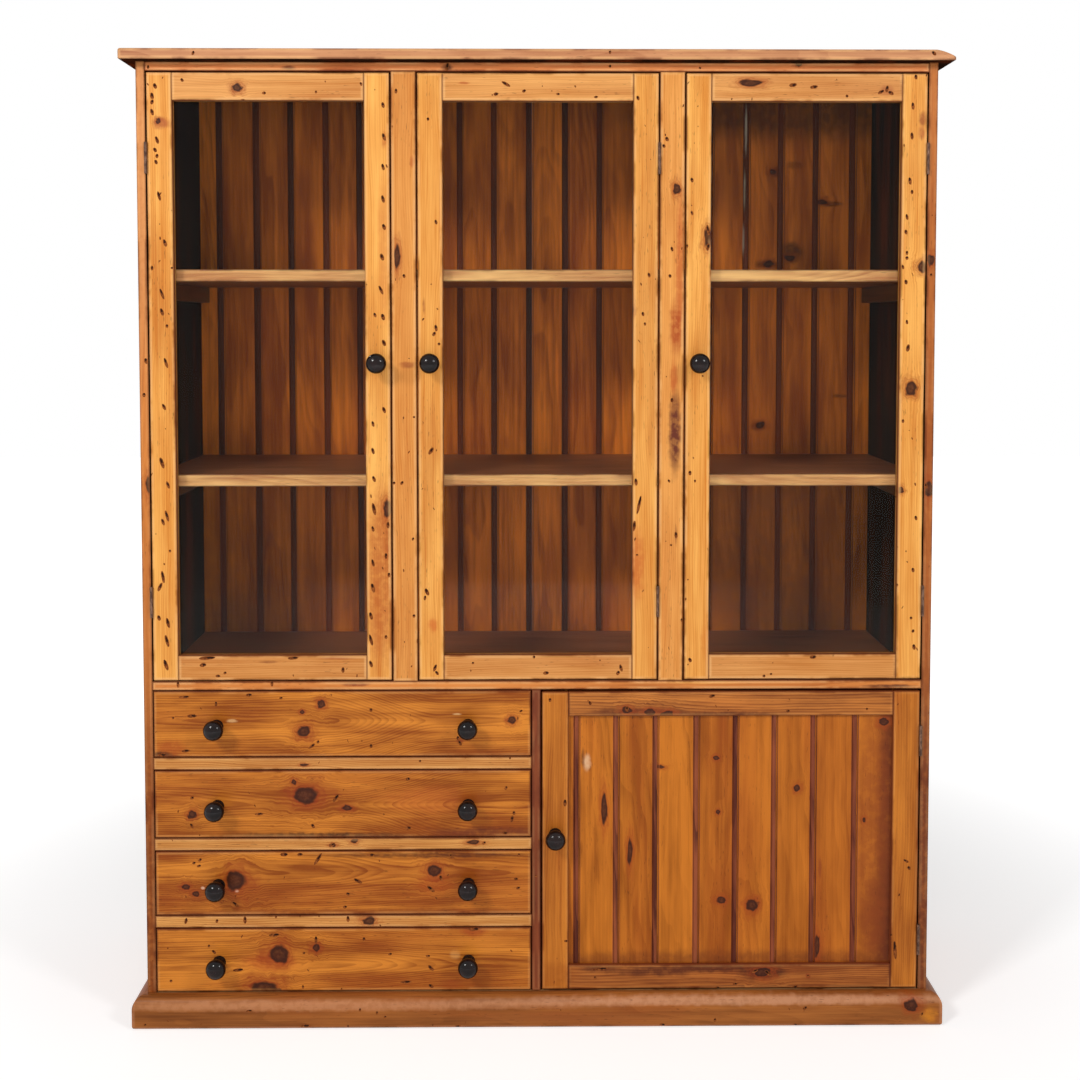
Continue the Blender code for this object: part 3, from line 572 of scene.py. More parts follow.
def section(low, high, rubs, groove=None):
    """A rectangle with each corner rubbed round by its own radius, and a groove in one side."""
    steps = 3
    bends = ((high[0], high[1], 0), (low[0], high[1], 90), (low[0], low[1], 180), (high[0], low[1], 270))
    outline = []
    for number, ((u, v, start), rub) in enumerate(zip(bends, rubs)):
        centre = (u + (rub if u == low[0] else -rub), v + (rub if v == low[1] else -rub))
        for step in range(steps + 1):
            turn = math.radians(start + 90 * step / steps)
            outline.append((centre[0] + rub * math.cos(turn), centre[1] + rub * math.sin(turn)))
        if groove and groove[0] == number:
            a, b, deep = groove[1:]
            outline += {
                0: [(b, v), (b, v - deep), (a, v - deep), (a, v)],
                1: [(u, b), (u + deep, b), (u + deep, a), (u, a)],
                2: [(a, v), (a, v + deep), (b, v + deep), (b, v)],
                3: [(u, a), (u - deep, a), (u - deep, b), (u, b)],
            }[number]
    return outline


PLANE_AXES = {"x": (1, 2), "y": (0, 2), "z": (0, 1)}
AXIS_NUMBER = {"x": 0, "y": 1, "z": 2}
WEAR_PITCH = 0.022


def board_mesh(low, high, along, ease, groove=None, luck=0.0):
    """A board whose arrises were rubbed round unevenly over the years, its ends too."""
    u, v = PLANE_AXES[along]
    w = AXIS_NUMBER[along]
    length = high[w] - low[w]
    steps = max(3, round(length / WEAR_PITCH))
    places = [(0.0, ease * 0.6), (ease * 0.35, ease * 0.15), (ease, 0.0)]
    places += [(ease + (length - 2 * ease) * number / steps, 0.0) for number in range(1, steps)]
    places += [(length - far, inset) for far, inset in reversed(places[:3])]
    loops = []
    for at, inset in places:
        rubs = [
            ease * (0.7 + 1.2 * max(0.0, 0.5 + noise.noise(Vector((at * 16, luck + corner * 7.1, 0.3)))))
            for corner in range(4)
        ]
        outline = section((low[u] + inset, low[v] + inset), (high[u] - inset, high[v] - inset), rubs, groove)
        loops.append([laid(a, b, low[w] + at, along) for a, b in outline])
    return loft(loops)


def noted(obj, **values):
    """Writes vectors on every point of a piece, for its finish to read."""
    for name, value in values.items():
        attribute = obj.data.attributes.new(name, "FLOAT_VECTOR", "POINT")
        attribute.data.foreach_set("vector", list(value) * len(obj.data.vertices))


def grained(obj, low, high, along, pith, tone=(0.0, 0.0, 0.0)):
    """Says where in its log a board was sawn: pith is how far off the log's heart lies, across and behind."""
    luck = random.Random(obj.name)
    order = {"x": (0, 2, 1), "z": (2, 0, 1), "y": (1, 2, 0)}[along]
    middle = [(a + b) / 2 for a, b in zip(low, high)]
    depth = high[order[2]] if order[2] == 1 else middle[order[2]]
    cut = (luck.uniform(0, 9), pith[0] - middle[order[1]], pith[1] - depth)
    noted(obj, cut=cut, low=low, high=high, tone=tone)


def board(
    name, low, high, along, finish, pith=None, ease=0.0015, tone=None, marks=(), scatter=0.0,
    body="carcase", groove=None,
):
    """A sawn board with rubbed arrises, its own place in the log, and the dents seen on its front."""
    luck = random.Random(name + " board")
    obj = new_piece(name, board_mesh(low, high, along, ease, groove, luck.uniform(0, 99)), finish)
    if marks or scatter:
        strike(obj, low[1], marks, scatter, luck.randrange(1000))
    pith = pith or (luck.choice((-1, 1)) * luck.uniform(0.06, 0.16), luck.uniform(0.03, 0.08))
    tone = tone or (luck.uniform(-0.18, 0.18), luck.uniform(-0.08, 0.12), 0.0)
    grained(obj, low, high, along, pith, tone)
    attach(obj, body)
    return obj


def corners(node):
    """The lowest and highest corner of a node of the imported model."""
    low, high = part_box(node)
    return Vector(low), Vector(high)


def second_finish(obj, material, wanted):
    """Gives the faces that a test picks another material."""
    if material.name not in obj.data.materials:
        obj.data.materials.append(material)
    number = obj.data.materials.find(material.name)
    for face in obj.data.polygons:
        if wanted(face):
            face.material_index = number


side_pine = pine("side_pine", (214, 134, 74), (170, 90, 46), "z", painted_gap_shade=0, seam_shade=0, worn=0.2)
side_edge = pine(
    "side_edge", (212, 130, 62), (160, 84, 34), "z", painted_gap_shade=0, seam_shade=0.4, worn=0.1,
    knots=((149, 485, 10, 32), (931, 260, 14, 18), (929, 488, 14, 30)),
    washes=(
        (933, 200, 80, 1000, (152, 78, 38), 0.35), (928, 520, 80, 900, (140, 66, 28), 0.6),
        (922, 880, 80, 900, (100, 44, 24), 0.9), (142, 180, 80, 700, (226, 156, 96), 0.6),
        (151, 920, 80, 1000, (120, 56, 16), 0.9),
    ),
)
inner_stain = pine(
    "inner_stain", (54, 34, 22), (28, 18, 12), "z", flecks=0.2, edges=False, painted_gap_shade=0, shine=0.0,
)
cleat_pine = pine("cleat_pine", (120, 78, 42), (70, 40, 20), "y", edges=False, painted_gap_shade=0)
SIDE_MARKS = {
    "side_left": ((146, 361, 12, -15), (153, 368, 9, 20), (144, 395, 9, 0)),
    "side_right": ((939, 252, 10, 0), (931, 275, 7, 15), (926, 486, 12, -10)),
}
BOARD_EASE = 0.0015
CLEAT_THICK = 0.020
CLEAT_HEIGHT = 0.036
CLEAT_SETBACK = 0.015
CLEARANCE = 0.0003
INNER_X = corners("mid_board")[1].x + CLEARANCE
BACK_FACE = corners("back_boards")[0].y
REBATE_X = corners("back_boards")[1].x + CLEARANCE
for sign, node in ((-1, "side_left"), (1, "side_right")):
    low, high = corners(node)
    outer = max(abs(low.x), abs(high.x))
    rounding = section((INNER_X, low.y), (outer, high.y), (BOARD_EASE,) * 4)
    front = [point for point in rounding if point[1] < low.y + BOARD_EASE * 1.01]
    outline = [(outer, high.y), (REBATE_X, high.y), (REBATE_X, BACK_FACE), (INNER_X, BACK_FACE), *front]
    mesh = loft([[(sign * x, y, z) for x, y in outline] for z in (low.z, high.z)])
    obj = new_piece(node + "_board", mesh, side_pine)
    strike(obj, low.y, SIDE_MARKS[node], scatter=90, seed=3 + sign)
    second_finish(obj, side_edge, lambda face: face.normal.y < -0.5 and face.material_index == 0)
    # The inner face takes the near-black finish: painted shade of the closed interior.
    second_finish(
        obj, inner_stain,
        lambda face: face.normal.x * sign < -0.9 and abs(abs(face.center.x) - INNER_X) < 1e-4,
    )
    low.x, high.x = sorted((sign * INNER_X, sign * outer))
    grained(obj, low, high, "z", (0.12 * sign, 0.30))
    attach(obj, "carcase")
    for shelf_name in ("shelf_lower", "shelf_upper"):
        shelf_low = corners(shelf_name)[0]
        x = sorted((sign * (INNER_X - CLEARANCE), sign * (INNER_X - CLEAT_THICK)))
        cleat_low = Vector((x[0], shelf_low.y + CLEAT_SETBACK, shelf_low.z - CLEARANCE - CLEAT_HEIGHT))
        cleat_high = Vector((x[1], BACK_FACE - CLEARANCE, shelf_low.z - CLEARANCE))
        board(f"{node}_cleat_{shelf_name[6:]}", cleat_low, cleat_high, "y", cleat_pine)
    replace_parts(obj, node)


# The back
# Upright tongued boards 12 mm thick, each with a bead worked along one edge, nailed into the
# rebates of the sides. The open joints and the beads hold dark wax and stain, and the rear is raw.
def row_recipe():
    """Stands one milled board at each point of a row, stretched to its own width."""
    recipe, net, given = new_recipe(
        "row_of_boards", ("Places", "Object"), ("Seed", "Int"), ("Bead finish", "Material"),
    )
    places = net.add("GeometryNodeObjectInfo", given["Places"]).outputs["Geometry"]
    stretch = own_value(net, "stretch")
    row = net.add("GeometryNodeInstanceOnPoints", places, None, given["Geometry"], None, None, None, stretch)
    row = row.outputs[0]
    cut = drawn(net, (0.0, -0.02, -0.07), (9.0, 0.02, -0.02), given["Seed"])
    tone = drawn(net, (-0.5, -0.2, 0.0), (0.5, 0.5, 1.0), given["Seed"])
    middle = net.parts(net.add("GeometryNodeInputPosition").outputs[0])[0]
    centring = net.add("ShaderNodeCombineXYZ", 0.0, net.math("MULTIPLY", middle, -1.0), 0.0).outputs[0]
    for name, value in (("cut", net.vector("ADD", cut, centring)), ("tone", tone)):
        row = stored(net, row, name, value, "FLOAT_VECTOR", "INSTANCE")
    real = net.add("GeometryNodeRealizeInstances", row)
    beads = own_value(net, "bead", "BOOLEAN")
    painted = net.add("GeometryNodeSetMaterial", real.outputs[0], beads, given["Bead finish"])
    net.add("NodeGroupOutput", painted.outputs[0])
    return recipe


ROW = row_recipe()
PITCH_WIDTH = 0.0825
QUIRK_WIDTH = 0.0012
QUIRK_DEPTH = 0.0018
JOINT_WIDTH = 0.0025
JOINT_DEPTH = 0.003
BACK_CHAMFER = 0.0012
EASED_WIDTH = 0.0012
CLOSE = 0.00005


def matchboard(low, high, bead):
    """One board, from the open line on its left to the bead on its right, with its left edge at zero."""
    front, back = low.y, high.y
    steps = 8
    outline = [(CLOSE, back - BACK_CHAMFER), (CLOSE, front + JOINT_DEPTH), (JOINT_WIDTH, front + JOINT_DEPTH)]
    outline += [(JOINT_WIDTH, front + 0.0005), (JOINT_WIDTH + 0.0004, front + 0.0001)]
    outline.append((JOINT_WIDTH + EASED_WIDTH, front))
    flat_end = PITCH_WIDTH - bead - QUIRK_WIDTH
    outline += [(flat_end - EASED_WIDTH, front), (flat_end - 0.0003, front + 0.0001)]
    for step in range(steps + 1):
        turn = math.pi * step / steps
        drop = QUIRK_DEPTH * (1 - math.sin(turn))
        outline.append((PITCH_WIDTH - bead / 2 * (1 + math.cos(turn)), front + drop))
    right = PITCH_WIDTH - CLOSE
    outline = [(min(u, right), v) for u, v in outline]
    outline += [(right, front + JOINT_DEPTH), (right, back - BACK_CHAMFER)]
    outline += [(right - BACK_CHAMFER, back), (CLOSE + BACK_CHAMFER, back)]
    mesh = loft([[(u, v, w) for u, v in outline] for w in (low.z, high.z)])
    beads = mesh.attributes.new("bead", "BOOLEAN", "FACE")
    for face in mesh.polygons:
        middle = face.center
        at_joint = middle.x < JOINT_WIDTH + EASED_WIDTH or middle.x > flat_end - EASED_WIDTH
        shows = face.normal.y < 0.2 and middle.y < front + JOINT_DEPTH * 0.9
        beads.data[face.index].value = at_joint and shows
    return mesh


def board_row(name, body, low, high, level, seen, finish, bead_finish, bead, seed):
    """Boards between the joints seen at one level, with the first and the last cut off at the limits."""
    joints = [seen_at(x, level, low.y).x for x in seen]
    joints = [joints[0] - PITCH_WIDTH, *joints, joints[-1] + PITCH_WIDTH]
    holder = point_cloud(
        [(start, 0.0, 0.0) for start in joints[:-1]],
        stretch=[((end - start) / PITCH_WIDTH, 1.0, 1.0) for start, end in zip(joints, joints[1:])],
    )
    obj = new_piece(name, matchboard(low, high, bead), finish)
    worked(obj, ROW, Places=holder, Seed=seed, **{"Bead finish": bead_finish})
    bpy.data.objects.remove(holder)
    shape = bmesh.new()
    shape.from_mesh(obj.data)
    for limit, side in ((low.x, -1), (high.x, 1)):
        everything = list(shape.verts) + list(shape.edges) + list(shape.faces)
        cut = bmesh.ops.bisect_plane(
            shape, geom=everything, plane_co=(limit, 0, 0), plane_no=(side, 0, 0), clear_outer=True,
        )
        edges = [item for item in cut["geom_cut"] if isinstance(item, bmesh.types.BMEdge)]
        bmesh.ops.holes_fill(shape, edges=edges)
    bmesh.ops.recalc_face_normals(shape, faces=shape.faces)
    shape.to_mesh(obj.data)
    shape.free()
    noted(obj, low=(low.x - 1, low.y, low.z), high=(high.x + 1, high.y, high.z))
    second_finish(obj, raw_pine, lambda face: face.normal.y > 0.95)
    second_finish(obj, bead_finish, lambda face: 0.5 < face.normal.y < 0.95)
    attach(obj, body)
    return obj


back_pine = pine(
    "back_pine", (246, 134, 30), (156, 72, 14), "z", "amber_pine", figure=0.35, blotch=0.7, rough=0.5,
    cloudy=2.0, edges=False, plane=BACK_FACE,
    knots=(
        (773, 172, 14, 12), (822, 202, 22, 11), (768, 264, 22, 12), (790, 258, 20, 12), (760, 425, 20, 14),
    ),
    washes=(
        (792, 252, 50, 50, (60, 24, 12), 0.85), (766, 264, 50, 20, (60, 24, 12), 0.8),
        (776, 172, 34, 26, (60, 24, 12), 0.8), (832, 204, 50, 14, (60, 24, 12), 0.85),
        (840, 396, 40, 10, (70, 28, 14), 0.6), (758, 426, 40, 22, (70, 28, 14), 0.7),
        (795, 165, 50, 20, (90, 38, 14), 0.5), (790, 570, 700, 640, (64, 30, 14), 0.5),
        # The wash at 800, 112 is a painted shadow of the head rail along the top of the back.
        (250, 590, 600, 500, (64, 30, 14), 0.4), (800, 112, 900, 130, (60, 28, 18), 0.75),
    ),
)
raw_pine = pine(
    "raw_pine", (188, 146, 98), (126, 88, 54), "z", "amber_pine", rough=0.7, blotch=0.1, flecks=0.8,
    edges=False, painted_gap_shade=0, cloudy=2.0,
)
back_bead = pine(
    "back_bead", (92, 40, 22), (46, 22, 14), "z", "amber_pine", edges=False, rough=0.5, plane=BACK_FACE,
    washes=(
        # The pale streaks down this joint are painted light, standing in for daylight seen through an open
        # joint.
        (746.0, 130, 6, 110, (204, 186, 160), 0.9), (744.5, 190, 5, 90, (196, 174, 144), 0.8),
        (743.0, 240, 6, 70, (204, 186, 160), 0.9),
    ),
)
BACK_BEAD = 0.012
BACK_JOINT_LEVEL = 350
BACK_JOINTS = (
    189, 224, 261, 295, 330, 363, 396.5, 430, 463, 497, 532, 568, 602, 638, 675, 712, 748, 782, 817, 853.5,
)
low, high = corners("back_boards")
back = board_row(
    "back", "carcase", low, high, BACK_JOINT_LEVEL, BACK_JOINTS, back_pine, back_bead, BACK_BEAD,
    seed=4,
)
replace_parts(back, "back_boards")


# The floor of the base
# A wide pine board between the two sides, level with the plinth's top edge and hidden behind it.
# The partition stands on it.
floor_pine = pine("floor_pine", (150, 98, 52), (96, 56, 26), "x", painted_gap_shade=0)
low, high = corners("bottom_board")
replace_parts(board("bottom", low, high, "x", floor_pine), "bottom_board")


# The partition
# An upright pine board between the drawers and the cupboard, from the floor of the base to the
# middle board. Its front edge shows as a red-brown strip.
divider_pine = pine(
    "divider_pine", (146, 74, 40), (96, 42, 22), "z", "amber_pine", figure=0.5, worn=0.1, ruddy=(110, 44, 26),
)
low, high = corners("partition")
divider = board("divider", low, high, "z", divider_pine, marks=((536, 876, 4, 0),), scatter=60)
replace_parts(divider, "partition")


# The frames between the drawers
# Each is a pale pine rail between the left side and the partition, and behind it are two runners
# that carry the drawer above. The rails are nicked, and the lowest has a large knot.
RAIL_DEPTH = 0.045
RUNNER_WIDTH = 0.022
rail_knots = ((304, 765, 12, 5), (354, 841, 14, 8), (333, 845, 12, 6), (474, 842, 22, 8), (369, 921, 20, 15))
rail_pine = pine(
    "rail_pine", (228, 164, 90), (180, 114, 52), "x", "amber_pine", ring=0.004, knots=rail_knots,
    worn=0.25, blotch=0.2, figure=0.8, cloudy=1.8,
)
runner_pine = pine("runner_pine", (150, 98, 52), (96, 56, 26), "y", "amber_pine", edges=False, painted_gap_shade=0)
RAIL_MARKS = {
    1: ((420, 761, 5, 60), (510, 758, 4, 90)),
    2: ((332, 845, 14, 60), (503, 835, 12, 90), (484, 843, 8, 50)),
    3: (
        (186, 921, 13, 12), (217, 921, 8, 15), (245, 920, 16, 0), (276, 917, 6, 0), (300, 916, 4, 0),
        (319, 916, 4, 0), (348, 919, 13, 0), (512, 914, 9, 90),
    ),
}
RAIL_TONES = {1: (0.30, 0.25, 0.0), 2: (-0.15, 0.0, 0.0), 3: (0.0, 0.1, 0.0)}
for number, marks in RAIL_MARKS.items():
    low, high = corners(f"drawer_frame_{number}")
    front_high = Vector((high.x, low.y + RAIL_DEPTH, high.z))
    rail = board(
        f"drawer_rail_{number}", low, front_high, "x", rail_pine, marks=marks, scatter=60,
        tone=RAIL_TONES[number],
    )
    for label, start in (("left", low.x), ("right", high.x - RUNNER_WIDTH)):
        runner_low = Vector((start, front_high.y, low.z))
        runner_high = Vector((start + RUNNER_WIDTH, high.y, high.z))
        board(f"runner_{number}_{label}", runner_low, runner_high, "y", runner_pine)
    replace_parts(rail, f"drawer_frame_{number}")


# The middle board
# A wide pine board from side to side, the floor of the glazed part. Its front edge is the rail
# under the glazed doors, and its top is dark with old stain.
shelf_dark = pine("shelf_dark", (166, 98, 58), (104, 58, 34), "x", "pale_pine", edges=False, painted_gap_shade=0)
middle_pine = pine(
    "middle_pine", (222, 138, 68), (176, 98, 42), "x",
    washes=(
        (356, 684, 60, 10, (120, 40, 26), 0.8), (890, 686, 110, 8, (84, 34, 22), 0.9),
        (700, 682, 160, 8, (232, 170, 84), 0.5),
    ),
)
low, high = corners("mid_board")
middle = board(
    "middle", low, high, "x", middle_pine, scatter=60,
    marks=((178, 684, 16, 0), (272, 683, 15, 0), (788, 680, 5, 90)),
)
second_finish(middle, shelf_dark, lambda face: abs(face.normal.y) < 0.5)
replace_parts(middle, "mid_board")


# The framing round the glazed doors
# Two pine posts stand between the doors and a thin, redder rail runs over them, all flush with the
# doors. Stain has run down the right post in long red-brown patches.
head_pine = pine(
    "head_pine", (244, 150, 84), (196, 104, 52), "x", blotch=0.7,
    washes=((289, 68, 30, 10, (96, 40, 22), 0.8), (447, 67, 22, 14, (70, 30, 18), 0.9)),
    knots=((799, 64, 12, 8),),
)
low, high = corners("top_rail")
head = board(
    "head_rail", low, high, "x", head_pine, scatter=50,
    marks=((148, 67, 8, 0), (447, 67, 20, 10), (610, 66, 6, 90), (700, 68, 5, 90)),
)
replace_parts(head, "top_rail")

RED_STAIN = (168, 66, 24)
post_pine = pine(
    "post_pine", (238, 168, 88), (202, 122, 50), "z", seam_shade=0.45,
    knots=((397, 256, 11, 40), (677, 189, 12, 20)),
    washes=(
        (407, 365, 34, 14, (150, 70, 34), 0.7), (412, 162, 12, 24, RED_STAIN, 0.5),
        (680, 265, 18, 300, (184, 84, 34), 0.7), (676, 328, 26, 110, (164, 64, 22), 0.85),
        (674, 377, 16, 70, (190, 76, 26), 0.6), (675, 432, 26, 170, (88, 30, 26), 0.95),
        (676, 535, 6, 40, (110, 50, 30), 0.5), (664, 600, 14, 240, (206, 120, 50), 0.4),
    ),
)
POST_MARKS = {
    "mullion_left": (
        (396, 91, 10, 0), (404, 276, 8, -15), (394, 483, 6, 0), (402, 483, 9, 30), (413, 539, 7, 20),
        (414, 616, 7, 0), (418, 641, 12, 0), (414, 417, 5, 90),
    ),
    "mullion_right": (
        (667, 139, 10, -20), (664, 146, 8, -20), (672, 249, 10, -15), (670, 276, 8, -15),
        (658, 118, 7, 0), (672, 400, 9, 0), (669, 481, 7, -30), (676, 535, 14, -5), (671, 545, 5, 90),
        (682, 620, 8, 0),
    ),
}
for node in ("mullion_left", "mullion_right"):
    low, high = corners(node)
    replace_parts(board(node + "_post", low, high, "z", post_pine, marks=POST_MARKS[node], scatter=120), node)


# The two shelves
# Loose pine boards 25 mm thick that lie on the cleats of the sides. The front edge is pale, bare
# wood, and the top is dark with old stain.
edge_pine = pine(
    "edge_pine", (255, 196, 126), (196, 126, 78), "x", "pale_pine", ring=0.004, figure=0.5,
    cloudy=2.4, blotch=0.5, painted_gap_shade=0, seam_shade=0.6, worn=0.2,
)
for node in ("shelf_lower", "shelf_upper"):
    low, high = corners(node)
    shelf = board(node + "_board", low, high, "x", edge_pine, ease=0.0018, scatter=20)
    second_finish(shelf, shelf_dark, lambda face: abs(face.normal.y) < 0.5)
    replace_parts(shelf, node)


# The top board
# One board across the whole piece, with a thumbnail moulding worked along its front and round the
# right end. The left end is only rubbed round, and the front edge is nicked.
FRONT_ROUND = 0.007
END_SLOPE_WIDTH = 0.038
THUMBNAIL_DROP = 0.016
LEFT_END_ROUND = 0.005
THUMBNAIL_STEPS = 12
top_pine = pine("top_pine", (214, 154, 108), (166, 104, 68), "x", painted_gap_shade=0, seam_shade=0.3)
low, high = corners("top_board")
levels = [(0.0, 0.0008), (0.0008, 0.0), (high.z - low.z - THUMBNAIL_DROP, 0.0)]
levels = [(rise, inset, inset, inset) for rise, inset in levels]
for step in range(1, THUMBNAIL_STEPS + 1):
    share = math.sin(math.pi / 2 * step / THUMBNAIL_STEPS)
    rise = high.z - low.z - THUMBNAIL_DROP * (1 - share)
    insets = []
    for radius in (LEFT_END_ROUND, FRONT_ROUND):
        into_round = max(0.0, rise - (high.z - low.z - radius)) / radius
        insets.append(radius * (1 - math.sqrt(max(0.0, 1 - into_round ** 2))))
    levels.append((rise, insets[0], insets[1], END_SLOPE_WIDTH * share ** 1.4))
loops = []
for rise, left_inset, front_inset, right_inset in levels:
    left, right, near, z = low.x + left_inset, high.x - right_inset, low.y + front_inset, low.z + rise
    loops.append(((left, near, z), (right, near, z), (right, high.y, z), (left, high.y, z)))
top = new_piece("top", loft(loops), top_pine)
TOP_MARKS = ((193, 53, 9, 20), (307, 60, 7, 90), (610, 52, 8, 0), (891, 49, 12, 90), (934, 53, 12, -40))
strike(top, low.y, TOP_MARKS, scatter=30, seed=8)
# The underside takes the near-black finish: painted shade under the top.
second_finish(top, inner_stain, lambda face: face.normal.z < -0.9)
grained(top, low, high, "x", (0.0, 0.30))
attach(top, "carcase")
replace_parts(top, "top_board")


# The plinth
# A skirting of three boards, mitred at the two front corners and nailed on, with its top edge
# rounded over. It is the most knocked part: the round is pale, partly rubbed and partly a painted
# highlight where it turns up to the light, and the face is scuffed.
PLINTH_THICK = 0.026
PLINTH_ROUND_WIDTH = 0.021
PLINTH_ROUND_DROP = 0.024
PLINTH_FOOT_ROUND = 0.007
PLINTH_STEPS = 10
FOOT_STEPS = 5
MITRE_GAP = 0.0001
plinth_front = pine(
    "plinth_front", (170, 102, 46), (112, 60, 22), "x", "amber_pine", grime=0.6,
    knots=((908, 999, 24, 20),), painted_gap_shade=0, rub=(206, 146, 108), seam_shade=0,
    washes=(
        # The two long pale bands along the round are partly rubbed wear and partly a painted highlight where
        # the round turns up to the light.
        (330, 1000, 1100, 20, (196, 134, 92), 0.7), (740, 995, 1100, 18, (202, 144, 106), 0.75),
        (925, 1008, 34, 34, (206, 128, 36), 0.8), (140, 1032, 24, 14, (70, 34, 14), 0.8),
        (560, 1012, 400, 24, (140, 80, 40), 0.4),
    ),
)
plinth_side = pine(
    "plinth_side", (170, 102, 46), (112, 60, 22), "y", "amber_pine", grime=0.6, painted_gap_shade=0, seam_shade=0,
)
PLINTH_MARKS = (
    (259, 1029, 8, 0), (305, 1026, 26, 86), (249, 1011, 12, 80), (813, 1002, 8, 0), (877, 1000, 6, 0),
    (805, 1008, 10, 60), (795, 1025, 12, 90), (360, 1010, 7, 0), (377, 1013, 7, 0), (385, 1017, 6, 60),
    (417, 1001, 6, 0), (457, 1027, 18, 70), (348, 1027, 8, 0), (715, 1020, 8, 0), (662, 1025, 12, 90),
    (922, 1014, 7, 30), (145, 1025, 6, 90), (589, 1002, 8, 30),
)
low, high = corners("plinth")
outer_x = high.x - PLINTH_THICK
front_y = low.y + PLINTH_THICK
profile = [(CLEARANCE, low.z)]
for step in range(FOOT_STEPS + 1):
    turn = math.pi / 2 * step / FOOT_STEPS
    reach = PLINTH_THICK - PLINTH_FOOT_ROUND * (1 - math.sin(turn))
    profile.append((reach, low.z + PLINTH_FOOT_ROUND * (1 - math.cos(turn))))
for step in range(PLINTH_STEPS + 1):
    turn = math.pi / 2 * step / PLINTH_STEPS
    reach = PLINTH_THICK - PLINTH_ROUND_WIDTH * (1 - math.cos(turn))
    profile.append((reach, high.z - PLINTH_ROUND_DROP * (1 - math.sin(turn))))
profile.append((CLEARANCE, high.z))
pieces = {
    "front": [
        [(sign * (outer_x + reach - MITRE_GAP), front_y - reach, z) for reach, z in profile]
        for sign in (-1, 1)
    ],
}
for side, sign in (("left", -1), ("right", 1)):
    pieces[side] = [
        [(sign * (outer_x + reach), front_y - reach + MITRE_GAP, z) for reach, z in profile],
        [(sign * (outer_x + reach), high.y, z) for reach, z in profile],
    ]
for side, loops in pieces.items():
    facing = side == "front"
    piece = new_piece("plinth_" + side, loft(loops), plinth_front if facing else plinth_side)
    strike(piece, low.y, PLINTH_MARKS if facing else (), scatter=120, seed=12)
    grained(piece, low, high, "x" if facing else "y", (0.05, 0.06))
    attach(piece, "carcase")
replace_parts(bpy.data.objects["plinth_front"], "plinth")


# The glazed doors
# Two full-height stiles with two rails tenoned between them, 22 mm thick, and one pane in a groove.
# The wood is the palest and cleanest of the piece, and the stiles are full of short slanting dents.
STILE_WIDTH = 0.051
RAIL_WIDTHS = (0.051, 0.056)
GROOVE_DEPTH = 0.007
SHOULDER = 0.00015
BOTTOM_RAIL_TONE = (0.4, 0.15, 0.0)


def framed_door(name, stile_width, rail_widths, infill, stile_finish, rail_finish, marks, scatter):
    """The two stiles and two rails of a door, grooved for what they hold."""
    low, high = corners(name + "_frame")
    groove_y = (corners(infill)[0].y - CLEARANCE, corners(infill)[1].y + CLEARANCE)
    inner = (low.x + stile_width, high.x - stile_width)
    pieces = {
        "stile_left": (low, Vector((inner[0], high.y, high.z)), "z", 3),
        "stile_right": (Vector((inner[1], low.y, low.z)), high, "z", 1),
        "rail_bottom": (
            Vector((inner[0] + SHOULDER, low.y, low.z)),
            Vector((inner[1] - SHOULDER, high.y, low.z + rail_widths[0])), "x", 0,
        ),
        "rail_top": (
            Vector((inner[0] + SHOULDER, low.y, high.z - rail_widths[1])),
            Vector((inner[1] - SHOULDER, high.y, high.z)), "x", 2,
        ),
    }
    made = {}
    for part, (start, end, along, side) in pieces.items():
        groove = (side, *groove_y, GROOVE_DEPTH)
        made[part] = board(
            f"{name}_{part}", start, end, along, stile_finish if along == "z" else rail_finish, body=name,
            marks=marks.get(part, ()), scatter=scatter, groove=groove,
            tone=BOTTOM_RAIL_TONE if part == "rail_bottom" else None,
        )
    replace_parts(made["stile_left"], name + "_frame")
    return made


